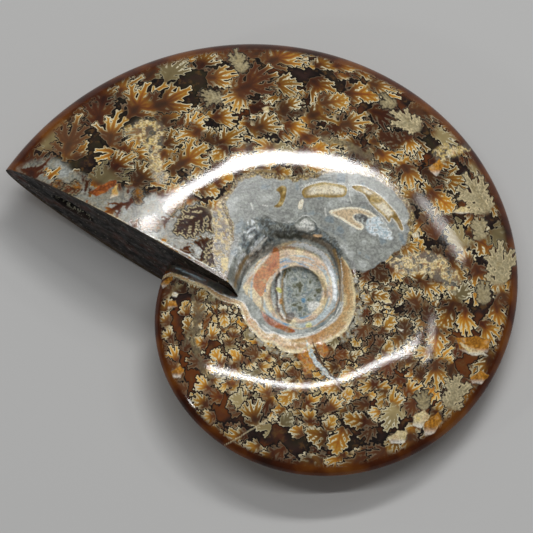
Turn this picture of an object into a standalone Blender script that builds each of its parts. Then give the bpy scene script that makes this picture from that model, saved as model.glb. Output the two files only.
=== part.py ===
"""A polished cleoniceras ammonite, one solid, lying on its flank as it rests on a table."""

import math

import bmesh
import bpy
import numpy as np
from mathutils import Matrix, Vector

MM = 0.001
NAME = "ammonite"

# Spiral of the outer edge, seen from above, growing anticlockwise up to the sawn end
END_RADIUS = 72.0 * MM
WHORL_EXPANSION = 2.454
CUT_DIRECTION = math.radians(146.1)
CUT_OFFSET = 7.3 * MM

# Whorl section: half thickness as a share of the whorl's radius
END_HALF_THICKNESS = 0.170
INFLATION_OF_EARLY_WHORLS = 0.25
CREST_AT = 0.45
FLANK_FALL = 1.6
VENTER_ROUNDING = 1.7
SHOULDER_DROP = 0.10

# Umbilicus: each whorl's inner wall climbs from its foot, on the whorl before, to its rim
FOOT_END_RADIUS = 13.4 * MM
FOOT_EXPANSION = 2.4
RIM_END_RADIUS = 16.1 * MM
RIM_EXPANSION = 1.35
WALL_ROUNDING = 0.9
EMBEDDED_FROM = 0.75
WHORLS_INSIDE = 2
INNER_WHORL_HEIGHT = 6.3 * MM
INNERMOST_HEIGHT = 7.6 * MM
CUP_RADIUS = 5.9 * MM
CUP_LIP = 0.7 * MM
CUP_HEIGHT = 5.7 * MM

# Fillet of shell at the foot of the step, where the last whorl overlies the one before
FILLET_REACH = 3.0 * MM
FILLET_RISE = 2.0 * MM

# Hollow in the sawn face, between the chambers' layers
POCKET_RADIUS = 54.0 * MM
POCKET_HEIGHT = 1.0 * MM
POCKET_SIZE = (5.2 * MM, 2.6 * MM, 2.4 * MM)

# How it lies: the thick sawn side stands higher, and the flank is ground flat where it rests
REST_TILT = math.radians(3.5)
REST_TILT_TOWARD = math.radians(187.0)
GROUND_OFF = 0.45 * MM

COLUMNS = 82
COLUMNS_AT_STEP = (math.radians(1.6), math.radians(3.4), math.radians(5.6))
UMBILICUS_RINGS = 8
WALL_RINGS = 3
WALL_END_RADIUS = 17.2 * MM
FLANK_RINGS = 10
VENTER_CROWDING = 1.6
TURN = 2 * math.pi


def cut_angle(radius):
    """Direction, from the centre of coiling, of the saw cut at this radius."""
    return CUT_DIRECTION + np.arcsin(CUT_OFFSET / np.maximum(radius, FOOT_END_RADIUS))


def spiral(end_radius, expansion, angle):
    """Radius, in this direction, of a spiral that has end_radius where it meets the saw cut."""
    return end_radius * expansion ** ((angle - cut_angle(end_radius)) / TURN)


def flank_height(radius, angle):
    """Half thickness of the whorl that passes here, from its venter in to its crest and shoulder."""
    outer = spiral(END_RADIUS, WHORL_EXPANSION, angle)
    share = np.clip(radius / outer, 0.0, 1.0)
    thickness = END_HALF_THICKNESS * (END_RADIUS / outer) ** INFLATION_OF_EARLY_WHORLS
    out = np.clip((share - CREST_AT) / (1 - CREST_AT), 0.0, 1.0)
    inward = np.clip((CREST_AT - share) / CREST_AT, 0.0, 1.0)
    section = (1 - out**FLANK_FALL) ** (1 / VENTER_ROUNDING) - SHOULDER_DROP * inward**2
    return outer * thickness * section


def inner_whorl_height(radius, angle):
    """Crest of a whorl that only the umbilicus shows: its outer part is hidden in the next one."""
    shown = np.minimum(radius, EMBEDDED_FROM * spiral(END_RADIUS, WHORL_EXPANSION, angle))
    return np.maximum(flank_height(shown, angle), INNER_WHORL_HEIGHT)


def coiled_height(radius, angle, whorls_inside=WHORLS_INSIDE):
    """Height above the middle plane of a whorl, its umbilical wall and the whorls inside it."""
    if whorls_inside:
        below = coiled_height(radius, angle - TURN, whorls_inside - 1)
    else:
        below = INNERMOST_HEIGHT
    crest = flank_height if whorls_inside == WHORLS_INSIDE else inner_whorl_height
    foot = spiral(FOOT_END_RADIUS, FOOT_EXPANSION, angle)
    rim = spiral(RIM_END_RADIUS, RIM_EXPANSION, angle)
    up_the_wall = np.clip((radius - foot) / (rim - foot), 0.0, 1.0)
    share = np.sin(up_the_wall * math.pi / 2) ** WALL_ROUNDING
    return below + (crest(radius, angle) - below) * share


def surface_height(radius, column):
    """Height above the middle plane, this far round from the cut, with the cup and the fillet."""
    angle = cut_angle(radius) + column
    height = coiled_height(radius, angle)
    lip = np.clip((radius - CUP_RADIUS) / CUP_LIP, 0.0, 1.0)
    height = CUP_HEIGHT + (height - CUP_HEIGHT) * lip * lip * (3 - 2 * lip)
    if radius <= FOOT_END_RADIUS:
        return height
    past_foot = min((radius - FOOT_END_RADIUS) / FILLET_REACH, 1.0)
    to_venter = 1 - (radius / spiral(END_RADIUS, WHORL_EXPANSION, angle)) ** 6
    near_step = max(1 - radius * (column + TURN) / FILLET_REACH, 0.0)
    return height + FILLET_RISE * near_step**2 * past_foot * max(to_venter, 0.0)


def column_end(column):
    """Radius at which a column of the grid, this far behind the cut, reaches the outer edge."""
    radius = END_RADIUS
    for _ in range(6):
        radius = float(spiral(END_RADIUS, WHORL_EXPANSION, cut_angle(radius) + column))
    return radius


def column_places():
    """How far behind the cut each column of the grid lies: all round, and closer at the step."""
    evenly = [TURN * i / COLUMNS for i in range(COLUMNS + 1)]
    even_step = evenly[1]
    spread = evenly[1 + int(COLUMNS_AT_STEP[-1] / even_step):]
    return [place - TURN for place in (0.0, *COLUMNS_AT_STEP, *spread)]


def shell_point(radius, column, side):
    angle = float(cut_angle(radius)) + column
    height = float(surface_height(radius, column))
    return Vector((radius * math.cos(angle), radius * math.sin(angle), side * height))


def ring_radii(column):
    """Radii of the rings outside the umbilicus: even up the wall, then closer towards the venter."""
    wall = np.linspace(FOOT_END_RADIUS, WALL_END_RADIUS, WALL_RINGS, endpoint=False)[1:]
    shares = 1 - (1 - np.arange(FLANK_RINGS) / FLANK_RINGS) ** VENTER_CROWDING
    flank = WALL_END_RADIUS + (column_end(column) - WALL_END_RADIUS) * shares
    return [float(radius) for radius in (*wall, *flank)]


def add_umbilicus(mesh, places, side):
    """Rings of points round the centre, from it out to where the cut starts."""
    centre = mesh.verts.new(shell_point(0.0, 0.0, side))
    rings = []
    for ring in range(1, UMBILICUS_RINGS + 1):
        radius = FOOT_END_RADIUS * ring / UMBILICUS_RINGS
        around = [mesh.verts.new(shell_point(radius, column, side)) for column in places[:-1]]
        rings.append(around + [around[0]])
    for here, after in zip(rings[0], rings[0][1:]):
        add_face(mesh, (centre, here, after), side)
    for inner, outer in zip(rings, rings[1:]):
        for i in range(len(places) - 1):
            add_face(mesh, (inner[i], outer[i], outer[i + 1], inner[i + 1]), side)
    return rings[-1]


def add_face(mesh, corners, side):
    mesh.faces.new(corners if side > 0 else tuple(reversed(corners)))


def add_flank(mesh, places, inner, venter, side):
    """Columns of points from the umbilicus out to the venter, from one side of the cut to the other."""
    columns = []
    for column, first, last in zip(places, inner, venter):
        between = [
            mesh.verts.new(shell_point(radius, column, side)) for radius in ring_radii(column)
        ]
        columns.append([first] + between + [last])
    for here, after in zip(columns, columns[1:]):
        for ring in range(len(here) - 1):
            corners = (here[ring], here[ring + 1], after[ring + 1], after[ring])
            add_face(mesh, corners, side)
    return columns[0], columns[-1]


def make_shell():
    """Both flanks, which meet at the venter, and the sawn face with the step above the whorl before."""
    mesh = bmesh.new()
    places = column_places()
    venter = [mesh.verts.new(shell_point(column_end(column), column, 0)) for column in places]
    edges = {}
    for side in (1, -1):
        inner = add_umbilicus(mesh, places, side)
        edges[side] = add_flank(mesh, places, inner, venter, side)
    start_top, end_top = edges[1]
    start_under, end_under = edges[-1]
    sawn = end_top + end_under[-2::-1] + start_under[1:] + start_top[-2:0:-1]
    mesh.faces.new(sawn)
    return mesh


def lying_down():
    """Turns the shell from its middle plane to how it rests."""
    axis = Vector((-math.sin(REST_TILT_TOWARD), math.cos(REST_TILT_TOWARD), 0))
    return Matrix.Rotation(-REST_TILT, 4, axis)


def rest_on_table(mesh):
    """Tips the shell, grinds its flank flat where it meets the table, and centres it."""
    mesh.transform(lying_down())
    table = min(v.co.z for v in mesh.verts) + GROUND_OFF
    cut = bmesh.ops.bisect_plane(
        mesh,
        geom=mesh.verts[:] + mesh.edges[:] + mesh.faces[:],
        plane_co=(0, 0, table),
        plane_no=(0, 0, -1),
        clear_outer=True,
    )
    rim = [e for e in cut["geom_cut"] if isinstance(e, bmesh.types.BMEdge)]
    bmesh.ops.edgeloop_fill(mesh, edges=rim)
    xs = [v.co.x for v in mesh.verts]
    ys = [v.co.y for v in mesh.verts]
    middle = Vector(((min(xs) + max(xs)) / 2, (min(ys) + max(ys)) / 2, table))
    bmesh.ops.translate(mesh, verts=mesh.verts, vec=-middle)
    return Matrix.Translation(-middle) @ lying_down()


def pocket_cutter(placed):
    """Rounded cutter, on the sawn face, for the hollow between the chambers' layers."""
    mesh = bmesh.new()
    bmesh.ops.create_icosphere(mesh, subdivisions=2, radius=1.0)
    angle = float(cut_angle(POCKET_RADIUS))
    centre = (POCKET_RADIUS * math.cos(angle), POCKET_RADIUS * math.sin(angle), POCKET_HEIGHT)
    turned = Matrix.Rotation(CUT_DIRECTION, 4, "Z")
    mesh.transform(placed @ Matrix.Translation(centre) @ turned @ Matrix.Diagonal((*POCKET_SIZE, 1)))
    return mesh_object("pocket_cutter", mesh)


def cut_pocket(shell, cutter):
    cutter.hide_render = True
    cutter.display_type = "WIRE"
    pocket = shell.modifiers.new("pocket", "BOOLEAN")
    pocket.operation = "DIFFERENCE"
    pocket.object = cutter


def mesh_object(name, mesh):
    mesh.normal_update()
    bmesh.ops.recalc_face_normals(mesh, faces=mesh.faces)
    data = bpy.data.meshes.new(name)
    mesh.to_mesh(data)
    mesh.free()
    return bpy.data.objects.new(name, data)


def collect(name, *members):
    collection = bpy.data.collections.new(name)
    bpy.context.scene.collection.children.link(collection)
    for member in members:
        collection.objects.link(member)


def polished_stone():
    stone = bpy.data.materials.new("polished_ammonite")
    stone.use_nodes = True
    shader = stone.node_tree.nodes["Principled BSDF"]
    shader.inputs["Base Color"].default_value = (0.20, 0.075, 0.018, 1)
    shader.inputs["Roughness"].default_value = 0.15
    shader.inputs["Metallic"].default_value = 0.0
    return stone


def clear_scene():
    for old in list(bpy.data.objects):
        bpy.data.objects.remove(old)


def main():
    clear_scene()
    mesh = make_shell()
    placed = rest_on_table(mesh)
    shell = mesh_object(NAME, mesh)
    shell.data.materials.append(polished_stone())
    shell.data.shade_smooth()
    shell.data.set_sharp_from_angle(angle=math.radians(35))
    cutter = pocket_cutter(placed)
    cut_pocket(shell, cutter)
    collect("cleoniceras_ammonite", shell)
    collect("cutters", cutter)


main()
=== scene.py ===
"""The looks of a polished cleoniceras ammonite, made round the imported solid.

Lengths are in millimetres until a mesh is made from them. Places on the upper side are given by
where a picture 533 pixels square, taken by the camera below, shows them.
"""

import itertools
import math

import bpy
import numpy as np
from mathutils import Matrix, Vector


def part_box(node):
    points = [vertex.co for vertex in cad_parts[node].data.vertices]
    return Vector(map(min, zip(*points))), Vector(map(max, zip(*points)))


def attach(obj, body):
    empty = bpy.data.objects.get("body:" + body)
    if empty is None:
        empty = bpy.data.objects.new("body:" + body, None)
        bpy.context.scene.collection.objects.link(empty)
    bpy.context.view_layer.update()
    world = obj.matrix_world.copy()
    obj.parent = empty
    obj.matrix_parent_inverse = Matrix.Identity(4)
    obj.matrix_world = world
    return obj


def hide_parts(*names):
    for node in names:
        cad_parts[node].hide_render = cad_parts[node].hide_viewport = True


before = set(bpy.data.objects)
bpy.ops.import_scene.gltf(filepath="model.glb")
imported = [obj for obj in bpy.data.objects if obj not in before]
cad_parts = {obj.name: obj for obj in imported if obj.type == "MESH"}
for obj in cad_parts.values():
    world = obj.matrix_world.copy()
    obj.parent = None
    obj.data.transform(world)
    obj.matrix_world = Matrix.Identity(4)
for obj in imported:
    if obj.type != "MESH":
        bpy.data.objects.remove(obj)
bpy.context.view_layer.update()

MM = 0.001
TURN = 2 * math.pi
NODE = "ammonite"
SOLID_LOW, SOLID_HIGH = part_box(NODE)

# Spiral of the outer edge, seen from above, growing anticlockwise up to the sawn end
END_RADIUS = 72.0
WHORL_EXPANSION = 2.454
CUT_DIRECTION = math.radians(146.1)
CUT_OFFSET = 7.3

# Whorl section: half thickness as a share of the whorl's radius
END_HALF_THICKNESS = 0.170
INFLATION_OF_EARLY_WHORLS = 0.25
CREST_AT = 0.45
FLANK_FALL = 1.6
VENTER_ROUNDING = 1.7
SHOULDER_DROP = 0.10

# Umbilicus: each whorl's inner wall climbs from its foot, on the whorl before, to its rim
FOOT_END_RADIUS = 13.4
FOOT_EXPANSION = 2.4
RIM_END_RADIUS = 16.1
RIM_EXPANSION = 1.35
WALL_ROUNDING = 0.9
EMBEDDED_FROM = 0.75
WHORLS_INSIDE = 2
INNER_WHORL_HEIGHT = 6.3
INNERMOST_HEIGHT = 7.6
CUP_RADIUS = 5.9
CUP_LIP = 0.7
CUP_HEIGHT = 5.7

# Fillet of shell at the foot of the step, and the hollow in the sawn face
FILLET_REACH = 3.0
FILLET_RISE = 2.0
POCKET_RADIUS = 54.0
POCKET_HEIGHT = 1.0
POCKET_SIZE = (5.2, 2.6, 2.4)

REST_TILT = math.radians(3.5)
REST_TILT_TOWARD = math.radians(187.0)

# Fine grid over the shell
COLUMNS = 1080
UMBILICUS_RINGS = 56
FLANK_RINGS = 250
UNDER_FLANK_RINGS = 60
UNDER_UMBILICUS_RINGS = 16
VENTER_CROWDING = 1.3

# Camera
VIEW_ELEVATION = math.radians(72.0)
VIEW_DISTANCE = 900.0
VIEW_TARGET = (0.0, 0.0, 12.0)
VIEW_ROLL = -0.054
PICTURE_SIZE = 533
LENS_PIXELS = 4039.6
PICTURE_CENTRE = (263.3, 256.3)
SENSOR_WIDTH = 36.0


# The form, as in the solid


def cut_angle(radius):
    """Direction, from the centre of coiling, of the saw cut at this radius."""
    return CUT_DIRECTION + np.arcsin(CUT_OFFSET / np.maximum(radius, FOOT_END_RADIUS))


def spiral(end_radius, expansion, angle):
    """Radius, in this direction, of a spiral that has end_radius where it meets the saw cut."""
    return end_radius * expansion ** ((angle - cut_angle(end_radius)) / TURN)


def outer_edge(angle):
    return spiral(END_RADIUS, WHORL_EXPANSION, angle)


def flank_height(radius, angle):
    """Half thickness of the whorl that passes here, from its venter in to its crest and shoulder."""
    outer = outer_edge(angle)
    share = np.clip(radius / outer, 0.0, 1.0)
    thickness = END_HALF_THICKNESS * (END_RADIUS / outer) ** INFLATION_OF_EARLY_WHORLS
    out = np.clip((share - CREST_AT) / (1 - CREST_AT), 0.0, 1.0)
    inward = np.clip((CREST_AT - share) / CREST_AT, 0.0, 1.0)
    section = (1 - out**FLANK_FALL) ** (1 / VENTER_ROUNDING) - SHOULDER_DROP * inward**2
    return outer * thickness * section


def inner_whorl_height(radius, angle):
    """Crest of a whorl that only the umbilicus shows: its outer part is hidden in the next one."""
    shown = np.minimum(radius, EMBEDDED_FROM * outer_edge(angle))
    return np.maximum(flank_height(shown, angle), INNER_WHORL_HEIGHT)


def coiled_height(radius, angle, whorls_inside=WHORLS_INSIDE):
    """Height above the middle plane of a whorl, its umbilical wall and the whorls inside it."""
    if whorls_inside:
        below = coiled_height(radius, angle - TURN, whorls_inside - 1)
    else:
        below = INNERMOST_HEIGHT
    crest = flank_height if whorls_inside == WHORLS_INSIDE else inner_whorl_height
    foot = spiral(FOOT_END_RADIUS, FOOT_EXPANSION, angle)
    rim = spiral(RIM_END_RADIUS, RIM_EXPANSION, angle)
    up_the_wall = np.clip((radius - foot) / (rim - foot), 0.0, 1.0)
    share = np.sin(up_the_wall * math.pi / 2) ** WALL_ROUNDING
    return below + (crest(radius, angle) - below) * share


def smooth(value, low, high):
    """0 below low, 1 above high, and an even curve between them."""
    share = np.clip((value - low) / (high - low), 0.0, 1.0)
    return share * share * (3 - 2 * share)


def surface_height(radius, column):
    """Height above the middle plane, this far round from the cut, with the cup and the fillet."""
    angle = cut_angle(radius) + column
    lip = smooth(radius, CUP_RADIUS, CUP_RADIUS + CUP_LIP)
    height = CUP_HEIGHT + (coiled_height(radius, angle) - CUP_HEIGHT) * lip
    past_foot = np.clip((radius - FOOT_END_RADIUS) / FILLET_REACH, 0.0, 1.0)
    to_venter = np.clip(1 - (radius / outer_edge(angle)) ** 6, 0.0, 1.0)
    near_step = np.clip(1 - radius * (column + TURN) / FILLET_REACH, 0.0, 1.0)
    return height + FILLET_RISE * near_step**2 * past_foot * to_venter


# Noise, random but the same each time


def scattered(cells, seed):
    """A number from -1 to 1 for each cell of a lattice, with no order from one to the next."""
    mixed = np.full(cells.shape[:-1], 374761393 * (seed + 1), np.int64)
    for axis, prime in zip(range(cells.shape[-1]), (73856093, 19349663, 83492791)):
        mixed = (mixed ^ (cells[..., axis] * prime)) * 1274126177 & 0xFFFFFFFF
        mixed ^= mixed >> 15
    return (mixed & 0xFFFF) / 32767.5 - 1


def noise(places, size, seed, octaves=1):
    """Smooth noise, about -1 to 1, whose lumps are this size."""
    total = np.zeros(places.shape[:-1])
    weight = 0.0
    for octave in range(octaves):
        at = places * (2.0**octave / size)
        cell = np.floor(at).astype(np.int64)
        share = at - cell
        share = share * share * (3 - 2 * share)
        layer = np.zeros(places.shape[:-1])
        for corner in itertools.product((0, 1), repeat=places.shape[-1]):
            chosen = np.where(np.array(corner) == 1, share, 1 - share)
            layer += chosen.prod(-1) * scattered(cell + np.array(corner), seed + octave)
        total += layer * 0.5**octave
        weight += 0.5**octave
    return total / weight


# Where things are in the picture


def view_axes():
    """Right, up and forward of the camera."""
    back = np.array((0.0, -math.cos(VIEW_ELEVATION), math.sin(VIEW_ELEVATION)))
    level_right = np.array((1.0, 0.0, 0.0))
    level_up = np.cross(level_right, -back)
    turn, lean = math.cos(VIEW_ROLL), math.sin(VIEW_ROLL)
    right = turn * level_right + lean * level_up
    up = turn * level_up - lean * level_right
    return right, up, -back


def eye_place():
    forward = view_axes()[2]
    return np.array(VIEW_TARGET) - forward * VIEW_DISTANCE


def in_picture(points):
    """Pixels at which the picture shows these points."""
    right, up, forward = view_axes()
    from_eye = points - eye_place()
    away = from_eye @ forward
    across = PICTURE_CENTRE[0] + LENS_PIXELS * (from_eye @ right) / away
    down = PICTURE_CENTRE[1] - LENS_PIXELS * (from_eye @ up) / away
    return np.stack((across, down), -1)


# The grid


def column_places():
    """How far behind the cut each column lies: evenly spaced along the outer edge."""
    share = np.linspace(1 / WHORL_EXPANSION, 1, COLUMNS + 1)
    return np.log(share) / math.log(WHORL_EXPANSION) * TURN


def column_ends(columns):
    """Radius at which each column reaches the outer edge."""
    radius = np.full(columns.shape, END_RADIUS)
    for _ in range(8):
        radius = outer_edge(cut_angle(radius) + columns)
    return radius


def ring_radii(columns, umbilicus_rings, flank_rings):
    """Radius of each ring in each column: even round the umbilicus, closer towards the venter."""
    within = np.linspace(0, FOOT_END_RADIUS, umbilicus_rings + 1)[1:, None]
    within = np.broadcast_to(within, (umbilicus_rings, len(columns)))
    share = 1 - (1 - np.arange(1, flank_rings + 1) / flank_rings) ** VENTER_CROWDING
    beyond = FOOT_END_RADIUS + (column_ends(columns) - FOOT_END_RADIUS) * share[:, None]
    return np.vstack((within, beyond))


def plain_points(radius, column, height):
    angle = cut_angle(radius) + column
    return np.stack((radius * np.cos(angle), radius * np.sin(angle), height), -1)


def lying_down():
    """Turns the shell from its middle plane to how it rests."""
    axis = Vector((-math.sin(REST_TILT_TOWARD), math.cos(REST_TILT_TOWARD), 0))
    return np.array(Matrix.Rotation(-REST_TILT, 3, axis))


def rest_offset(columns, radii):
    """Move, after the turn, that puts the shell in the middle of the solid's box, at its height."""
    top = plain_points(radii, columns, surface_height(radii, columns)) @ lying_down().T
    top = top.reshape(-1, 3)
    middle = (top.min(0) + top.max(0)) / 2
    offset = np.array((SOLID_LOW + SOLID_HIGH) / 2) / MM - middle
    offset[2] = SOLID_HIGH.z / MM - top[:, 2].max()
    return offset


# Paths and patches in the picture


def soft_path(points, closed=False, rounds=2):
    """A path with its corners rounded."""
    path = np.array(points, float)
    for _ in range(rounds):
        here = path if closed else path[:-1]
        after = np.roll(path, -1, 0) if closed else path[1:]
        cut = np.stack((0.75 * here + 0.25 * after, 0.25 * here + 0.75 * after), 1).reshape(-1, 2)
        path = cut if closed else np.vstack((path[:1], cut, path[-1:]))
    return path


def path_distance(at, path):
    """Distance to a path, and how far along it the nearest place is, in pixels."""
    nearest = np.full(len(at), np.inf)
    along = np.zeros(len(at))
    passed = 0.0
    for start, end in zip(path[:-1], path[1:]):
        step = end - start
        length = math.hypot(*step)
        share = np.clip((at - start) @ step / max(length**2, 1e-9), 0.0, 1.0)
        gap = np.hypot(*(at - start - share[:, None] * step).T)
        closer = gap < nearest
        nearest = np.where(closer, gap, nearest)
        along = np.where(closer, passed + share * length, along)
        passed += length
    return nearest, along


def is_inside(at, path):
    """Whether each place lies inside a closed path."""
    inside = np.zeros(len(at), bool)
    for (x0, y0), (x1, y1) in zip(path, np.roll(path, -1, 0)):
        if y0 == y1:
            continue
        level = (at[:, 1] < y0) != (at[:, 1] < y1)
        crossing = x0 + (at[:, 1] - y0) * (x1 - x0) / (y1 - y0)
        inside ^= level & (at[:, 0] < crossing)
    return inside


def nearby(at, path, reach):
    """Numbers of the places within reach of a path's box."""
    low, high = path.min(0) - reach, path.max(0) + reach
    return np.flatnonzero(((at > low) & (at < high)).all(-1))


def wobbled(at, amount, size=7.0, seed=3):
    """Places moved a little, so that an edge comes out uneven."""
    if not amount:
        return at
    moves = np.stack((noise(at, size, seed, 2), noise(at, size, seed + 7, 2)), -1)
    return at + amount * moves


def depth_inside(at, outline, wobble=0.0, sharp=False):
    """How many pixels each place lies inside a closed outline; far places are well outside it."""
    path = np.array(outline, float) if sharp else soft_path(outline, closed=True)
    near = nearby(at, path, 8.0 + wobble)
    depth = np.full(len(at), -8.0)
    moved = wobbled(at[near], wobble)
    gap = path_distance(moved, np.vstack((path, path[:1])))[0]
    depth[near] = np.where(is_inside(moved, path), gap, -gap)
    return depth


def patch(at, outline, edge=1.2, wobble=0.0, sharp=False):
    """Share, from 0 to 1, of each place that a closed outline covers."""
    return smooth(depth_inside(at, outline, wobble, sharp), -edge / 2, edge / 2)


def stroke(at, points, width, edge=1.0, wobble=0.0, taper=0.0):
    """Share of each place that a line of this width covers; taper thins it towards its ends."""
    path = soft_path(points)
    near = nearby(at, path, width + edge + wobble)
    share = np.zeros(len(at))
    gap, along = path_distance(wobbled(at[near], wobble, 5.0, 19), path)
    reach = along.max() if len(along) else 1.0
    ends = np.minimum(along, reach - along) / max(reach / 2, 1e-6)
    half = width / 2 * np.minimum(1.0, (1 - taper) + ends * 2 * taper)
    share[near] = 1 - smooth(gap, half - edge / 2, half + edge / 2)
    return share


def seen(red, green, blue):
    """A colour as the eye sees it, 0 to 255, turned into light."""
    share = np.array((red, green, blue)) / 255
    return np.where(share <= 0.04045, share / 12.92, ((share + 0.055) / 1.055) ** 2.4)


def blended(first, second, share):
    """The first colour, with this share of the second in its place."""
    return first * (1 - share[:, None]) + second * share[:, None]


class Paint:
    """Colours laid one over another on the leaf pattern, with how dull they are."""

    def __init__(self, at):
        self.at = at
        self.colour = np.zeros((len(at), 3))
        self.share = np.zeros(len(at))
        self.dull = np.zeros(len(at))

    def near(self, outline, reach=12.0):
        """A painter for the places near an outline only; take() brings its work back."""
        part = Paint(self.at)
        part.index = nearby(self.at, np.array(outline, float), reach)
        part.at = self.at[part.index]
        part.colour = self.colour[part.index]
        part.share = self.share[part.index]
        part.dull = self.dull[part.index]
        return part

    def take(self, part):
        self.colour[part.index] = part.colour
        self.share[part.index] = part.share
        self.dull[part.index] = part.dull

    def lay(self, colour, share, dull=0.0):
        self.colour = blended(self.colour, colour, share)
        self.share = self.share * (1 - share) + share
        self.dull = self.dull * (1 - share) + dull * share

    def line(self, colour, width, points, edge=1.0, wobble=0.0, taper=0.0, strength=0.8, dull=0.3):
        self.lay(colour, strength * stroke(self.at, points, width, edge, wobble, taper), dull)

    def lines(self, rows, **look):
        """Lays several lines that look alike but for their colour, width and points."""
        for colour, width, points in rows:
            self.line(colour, width, points, **look)

    def spot(self, colour, outline, edge=1.0, wobble=0.0, strength=1.0, dull=0.3, sharp=False):
        self.lay(colour, strength * patch(self.at, outline, edge, wobble, sharp), dull)

    def mottled(self, colours, size, seed, contrast=1.0):
        """Colours that follow one another in patches of this size, in pixels."""
        value = noise(self.at, size, seed, 3) * contrast
        place = np.clip((value + 0.6) / 1.2, 0, 0.9999) * (len(colours) - 1)
        low = place.astype(int)
        table = np.array(colours)
        share = (place - low)[:, None]
        return table[low] * (1 - share) + table[low + 1] * share


# Colours

GREY = seen(152, 156, 147)
BLUE_GREY = seen(124, 138, 142)
PALE_GREY = seen(184, 188, 182)
DARK_GREY = seen(62, 64, 62)
SILT = seen(166, 160, 140)
CREAM = seen(236, 218, 172)
YELLOW_CREAM = seen(222, 198, 128)
WHITE = seen(238, 238, 230)
TAN = seen(200, 160, 108)
ORANGE_TAN = seen(196, 138, 82)
PINK_CREAM = seen(208, 180, 152)
AMBER = seen(205, 140, 45)
DEEP_AMBER = seen(150, 98, 30)
OCHRE = seen(150, 118, 58)
RUST = seen(172, 92, 40)
DARK_RUST = seen(112, 58, 22)
BROWN = seen(70, 42, 24)
BLACK_BROWN = seen(30, 22, 18)
PALE_BLUE = seen(170, 196, 205)
SKY_BLUE = seen(96, 150, 186)
LEMON = seen(228, 224, 120)
OLIVE = seen(96, 96, 70)
DARK_OLIVE = seen(48, 48, 34)
CUP_GREY = seen(150, 158, 146)
STONE_GREY = seen(122, 124, 118)
PURPLE_BROWN = seen(58, 42, 42)
RED_BROWN = seen(104, 54, 26)
WARM_RUST = seen(200, 120, 64)
OLIVE_LEAF = seen(168, 152, 112)
PALE_OLIVE = seen(182, 170, 134)
OLIVE_GOLD = seen(152, 122, 58)
PALE_GOLD = seen(206, 182, 122)
SHADE_BROWN = seen(112, 98, 78)
DARK_MUD = seen(50, 48, 40)
PEARL_WHITE = seen(246, 252, 254)
PALE_CALCITE = seen(252, 244, 220)

# Outlines on the upper side, in the picture's pixels

MATRIX = (
    (226, 206), (232, 192), (247, 178), (270, 177), (292, 182), (317, 177), (343, 172), (374, 177),
    (397, 193), (410, 217), (406, 244), (391, 257), (368, 272), (353, 270), (343, 259), (330, 242),
    (300, 230), (262, 222), (246, 232), (238, 262), (232, 290), (226, 284), (228, 262), (236, 232),
)
NAVEL = (
    (219, 300), (230, 303), (240, 305), (244, 316), (248, 326), (261, 340), (275, 344), (281, 351),
    (292, 353), (302, 353), (312, 347), (327, 342), (341, 335), (350, 325), (354, 316), (356, 302),
    (354, 287), (352, 275), (348, 265), (343, 255), (337, 243), (327, 233), (315, 226), (295, 224),
    (273, 223), (258, 217), (246, 222), (240, 240), (236, 262), (232, 284), (224, 292),
)
BAND_OUTSIDE = (
    (158, 283), (165, 277), (172, 275), (187, 282), (205, 289), (212, 294), (219, 300), (230, 303),
    (240, 305), (244, 316), (245, 322), (253, 330), (261, 340), (267, 342), (275, 344), (281, 351),
    (292, 353), (302, 353), (312, 347), (327, 342), (341, 335), (350, 325), (353, 316), (356, 302),
    (354, 287), (352, 275), (348, 265), (342, 257),
)
BAND_INSIDE = (
    (159, 280), (166, 274), (173, 272), (188, 279), (206, 285), (214, 290), (222, 295), (230, 298),
    (241, 300), (247, 306), (249, 314), (256, 321), (261, 329), (267, 333), (275, 332), (285, 338),
    (297, 337), (312, 335), (325, 327), (334, 320), (342, 310), (342, 292), (342, 278), (342, 267),
    (341, 259),
)
RING = (
    (241, 280), (249, 269), (258, 260), (271, 250), (280, 244), (297, 241), (312, 245), (325, 252),
    (332, 262), (338, 278), (340, 292), (339, 302), (332, 314), (322, 323), (307, 329), (292, 329),
    (278, 322), (266, 314), (256, 304), (246, 294),
)
RING_CENTRE = (296.5, 292.0)
CUP_IN_PICTURE = 25.5
RUST_WEDGE = (
    (273, 247), (279, 248), (280, 267), (277, 270), (271, 276), (267, 281), (265, 290), (261, 298),
    (257, 294), (253, 285), (254, 275), (263, 265), (268, 259), (272, 254),
)
RUST_CRESCENT = (
    (260, 309), (267, 316), (276, 321), (286, 326), (297, 331), (291, 334), (281, 330), (271, 326),
    (264, 320),
)
DARK_CRUST = (
    (258, 221), (262, 216), (273, 221), (281, 224), (296, 223), (302, 220), (312, 224), (320, 229),
    (328, 233), (338, 242), (345, 256), (342, 266), (336, 258), (327, 248), (312, 241), (300, 238),
    (288, 240), (276, 239), (266, 237), (259, 231),
)
WALL = (
    (244, 222), (254, 217), (262, 220), (266, 232), (276, 240), (267, 250), (256, 260), (247, 272),
    (241, 290), (232, 296), (226, 290), (232, 282), (238, 262), (241, 240),
)
FOOT_SHADE = (
    (159, 270), (164, 262), (176, 262), (196, 268), (214, 278), (230, 290), (240, 296), (236, 298),
    (224, 295), (207, 286), (190, 278), (172, 272),
)
CUT_EDGE = (
    (9, 171), (25, 176), (41, 182), (66, 195), (90, 207), (108, 216), (130, 231), (165, 248),
    (198, 264), (215, 273), (226, 280),
)
# Painted highlight: a bright line along the shell's edge beside the saw cut
CUT_EDGE_HIGHLIGHT = ((140, 231), (152, 237), (170, 246), (190, 256), (206, 265), (217, 271))
VEINS = ((222, 340), (355, 340), (355, 450), (222, 450))
LUMP = ((295, 228), (299, 222), (304, 218), (309, 221), (316, 230), (308, 232), (300, 231))
HOOK = (
    (275, 190), (281, 185), (287, 187), (286, 195), (284, 203), (280, 208), (272, 207), (278, 203),
    (281, 197), (279, 192),
)
LENS = (
    (301, 191), (306, 186), (317, 183), (327, 181), (337, 184), (348, 186), (346, 197), (335, 198),
    (321, 197), (311, 198), (303, 198),
)
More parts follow.
